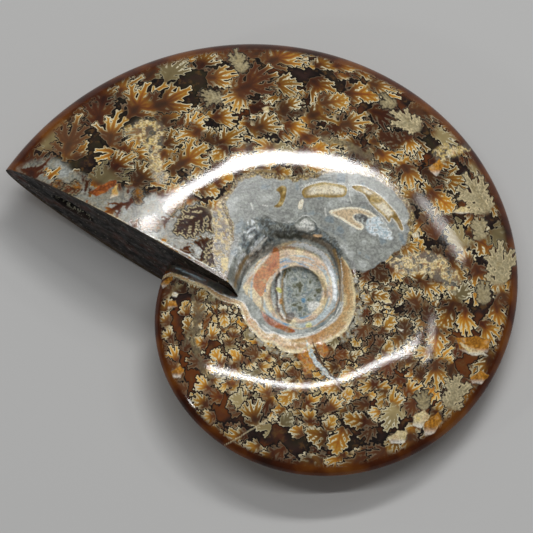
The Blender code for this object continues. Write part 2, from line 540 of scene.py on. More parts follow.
CRESCENT = (
    (350, 186), (360, 185), (372, 190), (382, 197), (391, 207), (399, 217), (404, 230), (401, 231),
    (397, 223), (391, 216), (390, 224), (384, 216), (378, 211), (369, 202), (365, 194), (356, 190),
)
WHITE_BAR = ((300, 200), (304, 199), (303, 205), (302, 210), (298, 209), (298, 204))
BEAK = (
    (327, 212), (337, 209), (350, 207), (362, 208), (371, 212), (379, 219), (368, 217), (360, 215),
    (354, 215), (355, 220), (361, 223), (364, 227), (361, 231), (349, 224), (337, 217),
)
BEAK_HOLE = ((353, 216), (358, 213), (366, 215), (369, 219), (363, 223), (356, 221))
SWIRL = (
    (365, 221), (374, 217), (384, 220), (391, 231), (393, 240), (387, 240), (376, 236), (366, 230),
)
PALE_CRUST = (
    (222, 196), (236, 190), (244, 196), (238, 212), (239, 236), (243, 246), (241, 258), (234, 268),
    (228, 276), (218, 272), (212, 250), (216, 232), (212, 214),
)
GRANULAR = (
    (388, 262), (402, 252), (420, 250), (440, 256), (456, 270), (464, 288), (452, 292), (436, 278),
    (414, 272), (396, 274),
)
RIM_CRUST = (
    (433, 150), (447, 142), (458, 146), (468, 142), (471, 150), (459, 156), (447, 163), (436, 160),
)
SILT_GROUND = (
    (14, 172), (40, 160), (62, 164), (84, 180), (112, 190), (146, 194), (170, 200), (196, 204),
    (218, 222), (226, 262), (224, 278), (205, 268), (170, 250), (132, 231), (92, 208), (44, 183),
)
MESSY_CRUST = (
    (120, 131), (132, 122), (150, 117), (163, 123), (165, 140), (160, 158), (168, 180), (157, 188),
    (150, 168), (145, 148), (133, 139),
)


# The leaf pattern: where the walls between the chambers meet the polished shell

# Along the whorl in radians, and across it, from the venter in, in logarithms of the radius
SEPTA = 40
FIRST_SEPTUM = -TURN - 0.12
SEPTUM_SPACING = 0.165
FIRST_ROW = 0.055
LEAF_ROW_SPACING = 0.155
SMOOTH_EDGE = 0.066
LEAF_LENGTH = 0.205
LARGER_INSIDE = 0.42
LEAVES_PER_SEPTUM = 3
OLIVE_CHANCE = 0.06
DARK_CHANCE = 0.20

# In millimetres: length of a leaf with all its fingers, dark round a leaf, depth where none is
FULL_LEAF = 9.5
HALO = 0.25
NO_LEAF = -3.0

# One leaf, one unit long: its stem, its fingers' width, which way or from where they grow, and
# how much they melt together where they meet
FINGER_WIDTH = 0.056
SMALL_LEAF_WIDENING = 0.021
POINTED_STEM = 0.46
POINTED_TURNS = (-1.15, -0.6, -0.05, 0.55, 1.1)
FEWER_TURNS = (-1.0, -0.35, 0.35, 1.0)
LOWER_FINGERS = (0.12, 0.30)
BLUNT_STEM = 0.76
BLUNT_PLACES = (0.22, 0.48, 0.74, 0.96)
FEWER_PLACES = (0.35, 0.65, 0.95)
MELT = 0.007


def toward(start, heading, length):
    return start[0] + length * math.cos(heading), start[1] + length * math.sin(heading)


def add_finger(strokes, random, start, heading, length, width, blunt):
    """A finger that bends to the leaf's own heading, with small lobes along it and at its tip."""
    middle = toward(start, heading, 0.5 * length)
    second = 0.6 * heading + random.normal(0, 0.12)
    end = toward(middle, second, 0.5 * length)
    strokes.append((*start, *middle, width * 1.2, width))
    strokes.append((*middle, *end, width, width * (0.5 + 0.4 * blunt)))
    lobe = width * (0.62 + 0.2 * blunt)
    reach = 1.25 * width + 0.05 * length
    for side in (-1, 1):
        root = [a + random.uniform(0.0, 0.45) * (b - a) for a, b in zip(middle, end)]
        turn = second + side * (0.7 + 0.3 * blunt + random.normal(0, 0.15))
        strokes.append((*root, *toward(root, turn, reach * random.uniform(0.8, 1.3)), lobe, lobe * 0.6))
    for side in (-1, 1):
        turn = second + side * (0.45 + 0.25 * blunt)
        size = reach * random.uniform(0.6, 1.1)
        strokes.append((*end, *toward(end, turn, size), lobe, lobe * (0.4 + 0.4 * blunt)))


def leaf_strokes(random, pointed, small):
    """The strokes of one leaf one unit long, from its stem at the origin, along x."""
    strokes = []
    lean = random.normal(0, 0.08)
    width = FINGER_WIDTH + SMALL_LEAF_WIDENING * small
    if pointed:
        crown = toward((0.0, 0.0), lean, POINTED_STEM)
        strokes.append((0.0, 0.0, *crown, 0.10, 0.11))
        for turn in POINTED_TURNS if small < 0.5 else FEWER_TURNS:
            size = (0.52 - 0.12 * abs(turn)) * random.uniform(0.72, 1.15)
            add_finger(strokes, random, crown, lean + turn + random.normal(0, 0.08), size, width, 0.3)
        for side in (-1, 1):
            for share in LOWER_FINGERS:
                root = toward((0.0, 0.0), lean, share + random.uniform(-0.03, 0.03))
                turn = side * random.uniform(1.1, 1.4)
                add_finger(strokes, random, root, turn, random.uniform(0.20, 0.30), width * 0.9, 0.4)
        return np.array(strokes)
    crown = toward((0.0, 0.0), lean, BLUNT_STEM)
    strokes.append((0.0, 0.0, *crown, 0.11, 0.07))
    for share in BLUNT_PLACES if small < 0.6 else FEWER_PLACES:
        for side in (-1, 1):
            root = toward((0.0, 0.0), lean, BLUNT_STEM * share)
            size = (0.36 - 0.14 * share) * random.uniform(0.75, 1.15)
            add_finger(strokes, random, root, side * (1.2 - 0.4 * share), size, width, 0.9)
    add_finger(strokes, random, crown, lean, 0.20, width, 0.9)
    return np.array(strokes)


def stroke_depth(at, strokes):
    """How far inside the strokes each place lies, evenly where they meet; below 0 outside them."""
    depth = np.full(len(at), -9.0)
    total = np.zeros(len(at))
    for x0, y0, x1, y1, w0, w1 in strokes:
        step = np.array((x1 - x0, y1 - y0))
        from_start = at - (x0, y0)
        along = np.clip(from_start @ step / (step @ step), 0.0, 1.0)
        gap = np.hypot(from_start[:, 0] - along * step[0], from_start[:, 1] - along * step[1])
        inside = w0 + (w1 - w0) * along - gap
        depth = np.maximum(depth, inside)
        total += np.exp(np.clip(inside, -0.3, 0.3) / MELT)
    melted = MELT * np.log(np.maximum(total, 1e-9)) - MELT
    return np.where(depth > -0.05, np.maximum(depth, melted), depth)


def leaf_places(random):
    """Column, radius, heading, length and kind of each leaf, row by row along the whorl."""
    leaves = []
    for septum in range(SEPTA):
        column = FIRST_SEPTUM + septum * SEPTUM_SPACING
        outer = float(column_ends(np.array([min(column, 0.0)]))[0])
        rows = int(math.log(outer / FOOT_END_RADIUS) / LEAF_ROW_SPACING) + 1
        for row in range(rows):
            inward = FIRST_ROW + row * LEAF_ROW_SPACING
            larger = math.exp(LARGER_INSIDE * inward)
            for kind in range(LEAVES_PER_SEPTUM):
                staggered = 0.5 * LEAF_ROW_SPACING if kind and row else 0
                middle = inward + random.normal(0, 0.02) + staggered
                beside = column + random.normal(0, 0.03) + kind * SEPTUM_SPACING / LEAVES_PER_SEPTUM
                heading = (0.0 if kind == 1 else math.pi) + random.normal(0, 0.5)
                if row == 0:
                    heading = math.pi - 0.5 + random.normal(0, 0.25)
                length = LEAF_LENGTH * larger * random.uniform(0.72, 1.15) * (0.85 if kind else 1.0)
                pointed = random.random() > inward / 1.1
                if random.random() < 1.25 / larger ** 1.3:
                    leaves.append((beside, outer * math.exp(-middle), heading, length, pointed))
    random.shuffle(leaves)
    return leaves


class LeafPattern:
    """For each place on a whorl: how deep in a leaf it is, and how that leaf is coloured."""

    def __init__(self, radius, column, seed):
        self.column = column
        self.angle = cut_angle(radius) + column
        self.log_radius = np.log(radius)
        self.radius = radius
        self.depth = np.full(radius.shape, NO_LEAF)
        self.line = np.zeros(radius.shape)
        self.dark = np.ones(radius.shape)
        self.tint = np.full(radius.shape, 0.5)
        self.olive = np.zeros(radius.shape)
        self.random = np.random.default_rng(seed)

    def add_leaf(self, column, radius, heading, length, pointed, olive, dark):
        """Lays one leaf over those before it; its stem melts into what is there."""
        small = smooth(FULL_LEAF - length * radius, 0.0, 0.55 * FULL_LEAF)
        strokes = leaf_strokes(self.random, pointed, small)
        tint = self.random.random()
        columns = self.column[0]
        first, last = np.searchsorted(columns, (column - 1.3 * length, column + 1.3 * length))
        if first == last:
            return
        part = (slice(None), slice(first, last))
        along = self.angle[part] - (cut_angle(radius) + column)
        outward = self.log_radius[part] - math.log(radius)
        near = np.hypot(along, outward) < 0.9 * length
        turn, lean = math.cos(heading), math.sin(heading)
        x = (turn * along[near] + lean * outward[near]) / length + 0.5
        y = (-lean * along[near] + turn * outward[near]) / length
        depth = stroke_depth(np.stack((x, y), -1), strokes) * length * self.radius[part][near]
        held = smooth(x, 0.06, 0.36)
        stem = smooth(0.80 - x + dark, 0.02, 0.46)
        self.blend(part, near, depth, held, stem, tint, olive)

    def blend(self, part, near, depth, held, stem, tint, olive):
        before = self.depth[part][near]
        over = depth > -HALO
        share = np.where(over, held, 0.0)
        outside = ~over & (before < 0)
        mixed = before * (1 - share) + depth * share
        faded = depth * held + NO_LEAF * (1 - held)
        mixed = np.where(outside, np.maximum(before, faded), mixed)
        self.put(self.depth, part, near, mixed)
        line = smooth(held, 0.2, 0.9)
        new_values = ((self.line, line), (self.dark, stem), (self.tint, tint), (self.olive, olive))
        for kept, value in new_values:
            self.put(kept, part, near, kept[part][near] * (1 - share) + value * share)

    @staticmethod
    def put(kept, part, near, values):
        view = kept[part]
        view[near] = values

    def values(self):
        """The grids, by the names that they have on the mesh."""
        return {
            "leaf_depth": self.depth, "leaf_line": self.line, "leaf_dark": self.dark,
            "leaf_tint": self.tint, "olive": self.olive,
        }


def grow_leaves(radius, column, seed):
    pattern = LeafPattern(radius, column, seed)
    random = pattern.random
    for beside, from_centre, heading, length, pointed in leaf_places(random):
        olive = 1.0 if random.random() < OLIVE_CHANCE else 0.12 * random.random()
        dark = 0.45 if random.random() < DARK_CHANCE else random.uniform(-0.12, 0.1)
        if FOOT_END_RADIUS * 0.9 < from_centre:
            pattern.add_leaf(beside, from_centre, heading, length, pointed, olive, dark)
    return pattern.values()


# Colours and relief laid on the upper side


def paint_silt(paint, depth):
    """Pale mud under the thin shell near the sawn edge, with what is left of the leaves on it."""
    part = paint.near(SILT_GROUND)
    worn = 0.5 + 1.3 * noise(part.at, 9.0, 163, 3)
    bare = 1 - smooth(depth[part.index] - worn, -0.1, 0.1)
    silt = 0.86 * part.mottled((SILT, STONE_GREY, SILT, GREY, SILT, PALE_GREY), 9.0, 161)
    part.lay(silt, 0.95 * patch(part.at, SILT_GROUND, 10.0, 7.0) * bare, 0.12)
    paint.take(part)


# Grounds between the leaves, each with how amber it is
NEAR_WHORL = (
    (150, 290), (240, 312), (290, 354), (420, 350), (470, 318), (492, 380), (430, 424), (330, 408),
    (250, 424), (225, 455), (168, 400),
)
NEAR_RIM = (
    (168, 380), (225, 440), (330, 455), (400, 440), (420, 450), (330, 482), (230, 474), (160, 400),
)
WARM_GROUND = ((NEAR_WHORL, 1.0), (NEAR_RIM, 0.7))
MOSSY_GROUND = (
    (20, 150), (80, 90), (170, 50), (215, 60), (215, 100), (180, 140), (160, 190), (90, 190),
    (30, 175),
)
GROUND_EDGE = 14.0
GROUND_WOBBLE = 6.0


def ground_warmth(at):
    """How amber, or below 0 how mossy, the clear stone between the leaves looks."""
    warmth = np.zeros(len(at))
    for outline, most in WARM_GROUND:
        warmth = np.maximum(warmth, most * patch(at, outline, GROUND_EDGE, GROUND_WOBBLE))
    return warmth - patch(at, MOSSY_GROUND, GROUND_EDGE, GROUND_WOBBLE)


CUT_GLINT = ((58, 190), (84, 202), (104, 212), (128, 224))


def paint_cut_edge(paint):
    """Dark worn edge along the saw cut, a bright line inside it as painted highlight, and a painted
    glint.
    """
    paint.line(BROWN, 3.4, CUT_EDGE, edge=1.5, wobble=0.8, strength=0.85, dull=0.25)
    # painted highlight along the shell's edge, then a painted glint
    paint.line(WHITE, 1.5, CUT_EDGE_HIGHLIGHT, wobble=0.8, taper=0.5, dull=0.1)
    paint.line(CREAM, 1.6, CUT_GLINT, wobble=1.2, taper=0.5, strength=0.6, dull=0.1)


def paint_navel(paint):
    stone = paint.mottled((BLUE_GREY, GREY, PALE_GREY, BLUE_GREY), 9.0, 41)
    paint.spot(stone, NAVEL, edge=1.5, dull=0.7)


RING_SHINE = ((286, 248), (297, 244), (311, 247), (323, 255), (331, 268), (335, 284), (335, 300))
RING_DASHES = ((283, 262), (292, 261), (300, 263), (309, 268))
RING_STAIN = ((283, 248), (288, 247), (293, 248))
RING_LIT_FROM = (286, 304)
CUP_SHADE_FOOT = RING_CENTRE[1] + 6
CUP_RIM_SHADE = (-300, -280)


def pearl_colours(paint, distance, turn, depth):
    """Streaks along the turn of the inner whorl, blue at the right of its outer edge."""
    value = noise(np.stack((distance / 2.4, turn * 1.5), -1), 1.0, 61, 3)
    deep = smooth(value, 0.45, 0.6) * smooth(noise(paint.at, 5.0, 71), 0.1, 0.4)
    outer = smooth(depth, 0.5, 2.0) * (1 - smooth(depth, 5.0, 8.0))
    outer *= smooth(paint.at[:, 0], *RING_LIT_FROM)
    pearl = paint.mottled((TAN, PINK_CREAM, CREAM, TAN), 14.0, 63)
    pearl = blended(pearl, PALE_BLUE, 0.8 * smooth(value, 0.12, 0.4))
    pearl = blended(pearl, SKY_BLUE, deep)
    pearl = blended(pearl, OCHRE, 0.55 * smooth(-value, 0.38, 0.6))
    return blended(pearl, PALE_BLUE, 0.75 * outer)


def paint_ring(paint):
    """The pearly inner whorl, and the muddy cup inside it."""
    at = paint.at
    from_centre = at - RING_CENTRE
    distance = np.hypot(*from_centre.T)
    depth = depth_inside(at, RING, 1.0)
    turn = np.arctan2(from_centre[:, 1], from_centre[:, 0])
    paint.lay(pearl_colours(paint, distance, turn, depth), smooth(depth, -0.6, 0.6), 0.45)
    paint.line(PEARL_WHITE, 4.6, RING_SHINE, edge=1.6, wobble=1.2, taper=0.3, strength=0.9)
    paint.line(SKY_BLUE, 1.6, RING_DASHES, wobble=1.6, taper=0.4, strength=0.7, dull=0.4)
    paint.line(ORANGE_TAN, 2.4, RING_STAIN, edge=1.2, wobble=1.2, dull=0.4)
    cup = smooth(CUP_IN_PICTURE - distance + noise(at, 6.0, 77, 2), -0.8, 0.8)
    mud = (OLIVE, CUP_GREY, PALE_GREY, CUP_GREY, BLUE_GREY, PALE_GREY)
    shaded = 0.5 * smooth(distance, 16, 25) * smooth(CUP_SHADE_FOOT - at[:, 1], 0, 20)
    paint.lay(blended(paint.mottled(mud, 5.0, 79, 1.3), DARK_OLIVE, shaded), cup, 0.8)
    rim = 1 - smooth(np.abs(distance - CUP_IN_PICTURE), 0.4, 1.4)
    paint.lay(DARK_OLIVE, 0.7 * rim * smooth(-at[:, 1], *CUP_RIM_SHADE), 0.8)


# Marks in and beside the cup: where each stripe crosses, and each spot's strength and wobble
CUP_STRIPES = ((272.5, PALE_GREY), (276, BROWN), (278.5, WHITE), (282, OCHRE), (285, PALE_GREY))
STRIPE_PATH = ((3, 271), (0, 283), (0, 298), (2, 310), (7, 319))
CUP_GLINT = ((306, 304), (313, 301), (321, 302), (319, 308), (308, 311))
CUP_SPOTS = (
    (SKY_BLUE, 0.9, 0.0, ((301, 298), (306, 298), (305, 303), (302, 303))),
    (LEMON, 0.9, 1.0, ((276, 287), (282, 288), (281, 293), (277, 292))),
    (LEMON, 0.7, 1.0, ((305, 324), (311, 322), (312, 327), (306, 328))),
    (AMBER, 0.8, 0.0, ((279, 299), (282, 298), (282, 304), (279, 304))),
    (BROWN, 0.8, 1.0, ((275, 308), (280, 307), (280, 313), (276, 313))),
    (BROWN, 0.7, 2.0, ((287, 312), (294, 313), (292, 324), (286, 321))),
)


def paint_cup_marks(paint):
    for across, colour in CUP_STRIPES:
        path = [(across + x, y) for x, y in STRIPE_PATH]
        paint.line(colour, 2.2, path, edge=1.2, wobble=1.2, taper=0.5, dull=0.4)
    paint.spot(WHITE, CUP_GLINT, edge=2.5, wobble=2.0, strength=0.85, dull=0.4)
    for colour, strength, wobble, outline in CUP_SPOTS:
        paint.spot(colour, outline, edge=1.5, wobble=wobble, strength=strength)


RUST_SEAM = ((262, 297), (263, 304), (261, 311))


def paint_rust(paint):
    rust = paint.mottled((RUST, WARM_RUST, ORANGE_TAN, WARM_RUST, TAN), 5.0, 83, 1.1)
    paint.spot(rust, RUST_WEDGE, wobble=0.8, dull=0.5)
    dark_rust = paint.mottled((DARK_RUST, RUST, DEEP_AMBER), 6.0, 89)
    paint.spot(dark_rust, RUST_CRESCENT, edge=1.2, wobble=0.6)
    paint.line(OCHRE, 2.0, RUST_SEAM, dull=0.4)


# Streaks: the colour, width and points of each
# On the wall, the dark grey and black-brown streaks are painted shade
WALL_STREAKS = (
    (OCHRE, 3.5, ((254, 251), (244, 260), (238, 272), (235, 287))),
    (BLACK_BROWN, 2.5, ((258, 254), (248, 264), (242, 276), (239, 290))),
    (PALE_GREY, 3.0, ((266, 252), (254, 263), (246, 274), (242, 286))),
    (WHITE, 2.0, ((270, 254), (259, 265), (250, 276))),
    (WHITE, 1.4, ((262, 250), (251, 260), (244, 270))),
    (BLUE_GREY, 2.0, ((244, 268), (240, 280), (238, 292))),
    (WHITE, 3.0, ((268, 238), (258, 246), (250, 254))),
    (DARK_GREY, 2.5, ((262, 232), (252, 240), (246, 252))),
    (DARK_GREY, 1.6, ((258, 222), (250, 232), (243, 246))),
    (DARK_GREY, 1.8, ((270, 244), (262, 248), (256, 256))),
)


def paint_wall(paint):
    """Streaked grey wall at the upper left of the navel, where it lies in shadow: its dark streaks and
    dark patches are painted shade.
    """
    # painted shade: the dark grey patches of this mottle stand for the wall's shadow
    stone = paint.mottled((DARK_GREY, BLUE_GREY, GREY, PALE_GREY, PEARL_WHITE), 4.0, 87, 1.3)
    paint.spot(stone, WALL, edge=4.0, wobble=3.0, dull=0.6)
    paint.lines(WALL_STREAKS, edge=1.6, wobble=1.4, taper=0.4, dull=0.6)


CRUST_PATH = (
    (266, 226), (274, 230), (284, 232), (297, 231), (308, 235), (322, 238), (332, 245), (339, 255),
)
CRUST_MUD = (
    (DARK_MUD, 3.0, CRUST_PATH),
    (DARK_MUD, 1.6, ((252, 218), (262, 222), (272, 222))),
    (DARK_MUD, 1.2, ((262, 215), (272, 219), (280, 224))),
)
CRUST_OLIVE = ((276, 235), (286, 237), (297, 236), (305, 239))
CRUST_CRYSTALS = (
    (PEARL_WHITE, 2.0, ((257, 243), (261, 239), (265, 236))),
    (PEARL_WHITE, 2.0, ((253, 246), (257, 241))),
    (PEARL_WHITE, 2.0, ((247, 233), (251, 229), (256, 228))),
)
CRUST_SHADE = ((304, 237), (318, 240), (329, 247), (337, 259), (341, 270))
CRUST_TAN = ((311, 235), (318, 234), (324, 236), (317, 238))


def paint_crust(paint):
    """Dark lumpy crust between the navel and the grey stone, with a pale lump in it."""
    dark = (DARK_GREY, BLUE_GREY, STONE_GREY, DARK_OLIVE, GREY, DARK_GREY)
    crust = paint.mottled(dark, 3.6, 91, 1.3)
    paint.spot(crust, DARK_CRUST, edge=3.0, wobble=2.2, strength=0.85, dull=0.85)
    paint.lines(CRUST_MUD, edge=2.0, wobble=1.2, taper=0.3, strength=0.75, dull=0.9)
    paint.line(DARK_OLIVE, 4.5, CRUST_OLIVE, 2.0, wobble=2.0, taper=0.3, strength=0.85, dull=0.9)
    paint.lines(CRUST_CRYSTALS, edge=1.4, wobble=1.6, taper=0.4, strength=0.75, dull=0.5)
    paint.line(SHADE_BROWN, 5.0, CRUST_SHADE, edge=2.0, wobble=1.5, taper=0.2, dull=0.8)
    paint.spot(paint.mottled((GREY, WHITE, PALE_GREY), 3.0, 93), LUMP, 2.5, wobble=2.5, dull=0.8)
    paint.spot(TAN, CRUST_TAN, strength=0.9, dull=0.5)


FOOT_GLINT = ((176, 268), (190, 274), (206, 281))


def paint_foot(paint):
    """Painted shade, dark and mottled, in the corner between the step's wall and the earlier whorl, and
    a painted glint on the wall.
    """
    # painted shade: these dark mottled colours stand for the shadow beside the wall, not for mud
    mud = paint.mottled((BLACK_BROWN, BROWN, DARK_OLIVE, BLACK_BROWN), 5.0, 165)
    paint.spot(mud, FOOT_SHADE, edge=1.5, wobble=0.8, dull=0.35)
    paint.line(PALE_BLUE, 1.4, FOOT_GLINT, wobble=0.5, taper=0.6, strength=0.7, dull=0.2)


BAND_CRUMBS = (
    (9.0, ((352, 272), (358, 286), (361, 302), (359, 318), (353, 330), (344, 339))),
    (5.0, ((250, 330), (262, 344), (278, 354), (296, 357))),
)
BAND_LINE = ((262, 325), (270, 331), (287, 337), (310, 334), (325, 326), (336, 313), (343, 302))
BAND_OCHRE = ((334, 250), (340, 266), (341, 284), (341, 300))
# Painted shade: a dark line in the groove between the ring and the band
BAND_GAP_SHADE = ((328, 250), (336, 262), (340, 280), (340, 300), (334, 315))


def places_on_band(at):
    """Share of each place that the band covers, and where across it the place is, from 0 to 1."""
    outside, inside = soft_path(BAND_OUTSIDE), soft_path(BAND_INSIDE)
    near = nearby(at, outside, 10.0)
    moved = wobbled(at[near], 0.8, 6.0, 97)
    to_outside = path_distance(moved, outside)[0]
    to_inside = path_distance(moved, inside)[0]
    within = is_inside(moved, np.vstack((outside, inside[::-1])))
    edge = np.minimum(to_outside, to_inside)
    share = np.zeros(len(at))
    share[near] = np.where(within, 1.0, 1 - smooth(edge, 0.0, 0.8))
    across = np.full(len(at), 0.5)
    across[near] = to_outside / (to_outside + to_inside)
    return share, across


def paint_band(paint):
    """The shell wall round the navel, cut through: cream, with a white edge on both sides."""
    at = paint.at
    crumbs = paint.mottled((SILT, OLIVE_LEAF, SILT, PALE_GREY, OLIVE_LEAF), 3.0, 179, 1.2)
    broken = smooth(noise(at, 4.0, 181, 2), -0.25, 0.15)
    for width, points in BAND_CRUMBS:
        paint.lay(crumbs, 0.85 * broken * stroke(at, points, width, 3.0, 3.0, 0.2), 0.15)
    share, across = places_on_band(at)
    layers = noise(np.stack((across * 5, at[:, 0] * 0.03), -1), 1.0, 99, 2)
    tan = paint.mottled((ORANGE_TAN, TAN, TAN, CREAM), 16.0, 101)
    tan = blended(tan, CREAM, 0.6 * smooth(layers, 0.05, 0.5))
    tan = blended(tan, CREAM, 1 - smooth(across, 0.10, 0.26))
    tan = blended(tan, WHITE, 0.9 * smooth(across, 0.86, 0.95))
    paint.lay(tan, share, 0.25)
    paint.line(WHITE, 1.2, BAND_LINE, edge=0.8, wobble=0.5)
    paint.line(OCHRE, 3.0, BAND_OCHRE, edge=1.5, wobble=0.8, strength=0.7, dull=0.4)
    # painted shade in the groove
    paint.line(DARK_GREY, 1.5, BAND_GAP_SHADE, dull=0.6)


FRINGE_GOLD = ((251, 171), (262, 170), (276, 172))
FRINGE_FADES = (-262, -235)


def paint_fringe(paint):
    """Crumbled shell, dark and cream, where the leaves stop at the grey stone."""
    fills = (BLACK_BROWN, CREAM, BROWN, OCHRE, BLACK_BROWN, YELLOW_CREAM)
    upper = smooth(-paint.at[:, 1], *FRINGE_FADES)
    share = 0.85 * upper * smooth(depth_inside(paint.at, MATRIX, 3.0), -6.5, -4.0)
    paint.lay(paint.mottled(fills, 2.2, 115, 1.4), share, 0.1)
    paint.line(OLIVE_GOLD, 3.0, FRINGE_GOLD, wobble=1.0, taper=0.4, dull=0.1)


MATRIX_STREAKS = (
    (DARK_GREY, 2.2, ((252, 216), (262, 218), (273, 216), (283, 220))),
    (BLUE_GREY, 2.0, ((300, 214), (314, 212), (322, 218))),
    (DARK_GREY, 1.6, ((338, 204), (350, 202), (366, 204))),
    (BLUE_GREY * 0.7, 3.6, ((322, 226), (334, 232), (346, 240))),
    (GREY, 2.0, ((360, 246), (374, 252), (384, 250))),
)
# White lines on the stone; the long one along the top edge of the lens is a painted highlight
MATRIX_WHITE_LINES = (
    (WHITE, 1.3, ((350, 187), (349, 193), (352, 203))),
    (WHITE, 1.6, ((251, 203), (253, 210))),
    (WHITE, 1.4, ((379, 214), (386, 224), (392, 233))),
    (WHITE, 1.1, ((301, 187), (316, 181), (334, 183), (352, 184))),
    (WHITE, 1.0, ((262, 205), (268, 206))),
    (WHITE, 1.6, ((325, 208), (326, 216))),
)
CRESCENT_LIT_FROM = (150, 158)
LENS_HIGHLIGHT_ABOVE = 192
LENS_DARK_BELOW = (191, 198)
LENS_DARK_LEFT_OF = (-316, -303)


def paint_matrix(paint):
    """Grey polished mud stone, and the slices of older shells and cream calcite in it."""
    at = paint.at
    greys = (BLUE_GREY, GREY, STONE_GREY, GREY, GREY, PALE_GREY)
    grain = 0.16 * noise(at, 1.5, 105, 2) + 0.12 * noise(at, 4.0, 107, 2)
    shading = (1 + 1.2 * grain[:, None]).clip(0.6, 1.6)
    stone = 0.92 * paint.mottled(greys, 11.0, 103, 1.2) * shading
    paint.spot(stone, MATRIX, edge=2.0, wobble=3.0, dull=0.25)
    paint.lines(MATRIX_STREAKS, edge=2.0, wobble=2.5, taper=0.5, strength=0.5)
    paint_hook(paint)
    paint_crescent(paint)
    paint_lens(paint)
    paint_beak(paint)
    paint.spot(PALE_CALCITE, WHITE_BAR, edge=0.8, dull=0.05)
    swirl = paint.mottled((PALE_GREY, PEARL_WHITE, PALE_BLUE, PEARL_WHITE, GREY), 5.0, 117, 1.2)
    paint.spot(swirl, SWIRL, edge=2.0, wobble=2.0, strength=0.85, dull=0.2)
    # white lines, one of them a painted highlight on the lens
    paint.lines(MATRIX_WHITE_LINES, edge=0.8, wobble=0.5, taper=0.4, dull=0.1)


def paint_hook(paint):
    depth = depth_inside(paint.at, HOOK, 0.4)
    gold = paint.mottled((OLIVE_GOLD * 0.6, OLIVE_GOLD, PALE_GOLD), 4.0, 109)
    paint.lay(PALE_GREY, smooth(depth, -1.8, -0.4), 0.1)
    paint.lay(gold, smooth(depth, -0.5, 0.6), 0.05)


def paint_crescent(paint):
    at = paint.at
    depth = depth_inside(at, CRESCENT, 0.4)
    lit_side = smooth(at[:, 0] - at[:, 1], *CRESCENT_LIT_FROM)
    paint.lay(WHITE, smooth(depth, -1.4, -0.4) * lit_side, 0.1)
    gold = paint.mottled((OLIVE_GOLD * 0.8, OLIVE_GOLD, PALE_GOLD, OLIVE_GOLD), 8.0, 111)
    middle = 0.9 * smooth(depth, 0.8, 3.6) * smooth(noise(at, 9.0, 119), -0.5, 0.0)
    paint.lay(blended(gold, PALE_CALCITE, middle), smooth(depth, -0.6, 0.4), 0.05)


def paint_lens(paint):
    at = paint.at
    depth = depth_inside(at, LENS, 0.5)
    # painted highlight: white along the upper edge of the lens
    above = smooth(LENS_HIGHLIGHT_ABOVE - at[:, 1], -1.0, 3.0)
    paint.lay(WHITE, smooth(depth, -1.4, -0.3) * above, 0.1)
    dark_part = smooth(at[:, 1], *LENS_DARK_BELOW)
    dark_part = np.maximum(dark_part, smooth(-at[:, 0], *LENS_DARK_LEFT_OF))
    centre = smooth(depth, 1.0, 4.5) * (0.75 + 0.5 * noise(at, 6.0, 123))
    fill = blended(PALE_GOLD, PALE_CALCITE, centre.clip(0, 1))
    fill = blended(fill, OLIVE_GOLD, 0.85 * dark_part)
    paint.lay(fill, smooth(depth, -0.3, 0.6), 0.05)


def paint_beak(paint):
    depth = depth_inside(paint.at, BEAK, 0.4)
    paint.lay(PALE_CALCITE, smooth(depth, -0.9, 0.1), 0.1)
    paint.lay(CREAM * 0.4 + PINK_CREAM * 0.55, smooth(depth, 0.6, 2.6), 0.05)
    hole = paint.mottled((BLACK_BROWN, DARK_GREY, GREY, PALE_GREY), 2.4, 113, 1.3)
    paint.spot(hole, BEAK_HOLE, edge=1.2, wobble=0.5, dull=0.5)


# Each crust with the first of its two seeds
CRUSTS = ((PALE_CRUST, 121), (GRANULAR, 131), (MESSY_CRUST, 137), (RIM_CRUST, 143))
CRUST_STREAKS = (
    (BLUE_GREY, 2.2, ((232, 240), (230, 255), (233, 270))),
    (PALE_GREY, 1.8, ((236, 238), (236, 258), (232, 284))),
    (DARK_GREY, 1.0, ((229, 246), (228, 262), (230, 276))),
)
ORANGE_FLAKE = ((235, 241), (241, 240), (243, 250), (241, 257), (235, 254))
YELLOW_FLAKE = ((221, 258), (228, 257), (229, 268), (226, 271), (221, 265))


def paint_pale_crusts(paint):
    """Broken cream calcite between the leaves and the grey stone."""
    at = paint.at
    fills = (DEEP_AMBER, YELLOW_CREAM, CREAM, OCHRE, YELLOW_CREAM)
    for outline, seed in CRUSTS:
        broken = smooth(noise(at, 3.6, seed, 3), -0.08, 0.08)
        paint.lay(SILT * 0.5, 0.55 * patch(at, outline, 6.0, 4.0) * (1 - broken), 0.4)
        fill = paint.mottled(fills, 3.0, seed + 3, 1.3)
        paint.lay(fill, patch(at, outline, 4.0, 4.0) * broken, 0.4)
    paint.lines(CRUST_STREAKS, wobble=0.8, strength=0.85, dull=0.4)
    paint.spot(ORANGE_TAN, ORANGE_FLAKE, wobble=0.5)
    paint.spot(YELLOW_CREAM, YELLOW_FLAKE, wobble=0.5, sharp=True)


AMBER_PIECES = (
    ((297, 352), (311, 347), (315, 362), (313, 376), (304, 374)),
    ((316, 341), (327, 343), (328, 357), (320, 359)),
)
VEIN = ((307, 341), (310, 350), (315, 361), (322, 370), (333, 380))
VEIN_SHADE = ((313, 342), (317, 354), (326, 369), (337, 381))
VEIN_END = ((323, 371), (336, 384), (352, 400))
LOWER_VEIN = ((225, 445), (240, 437), (258, 425), (275, 415))


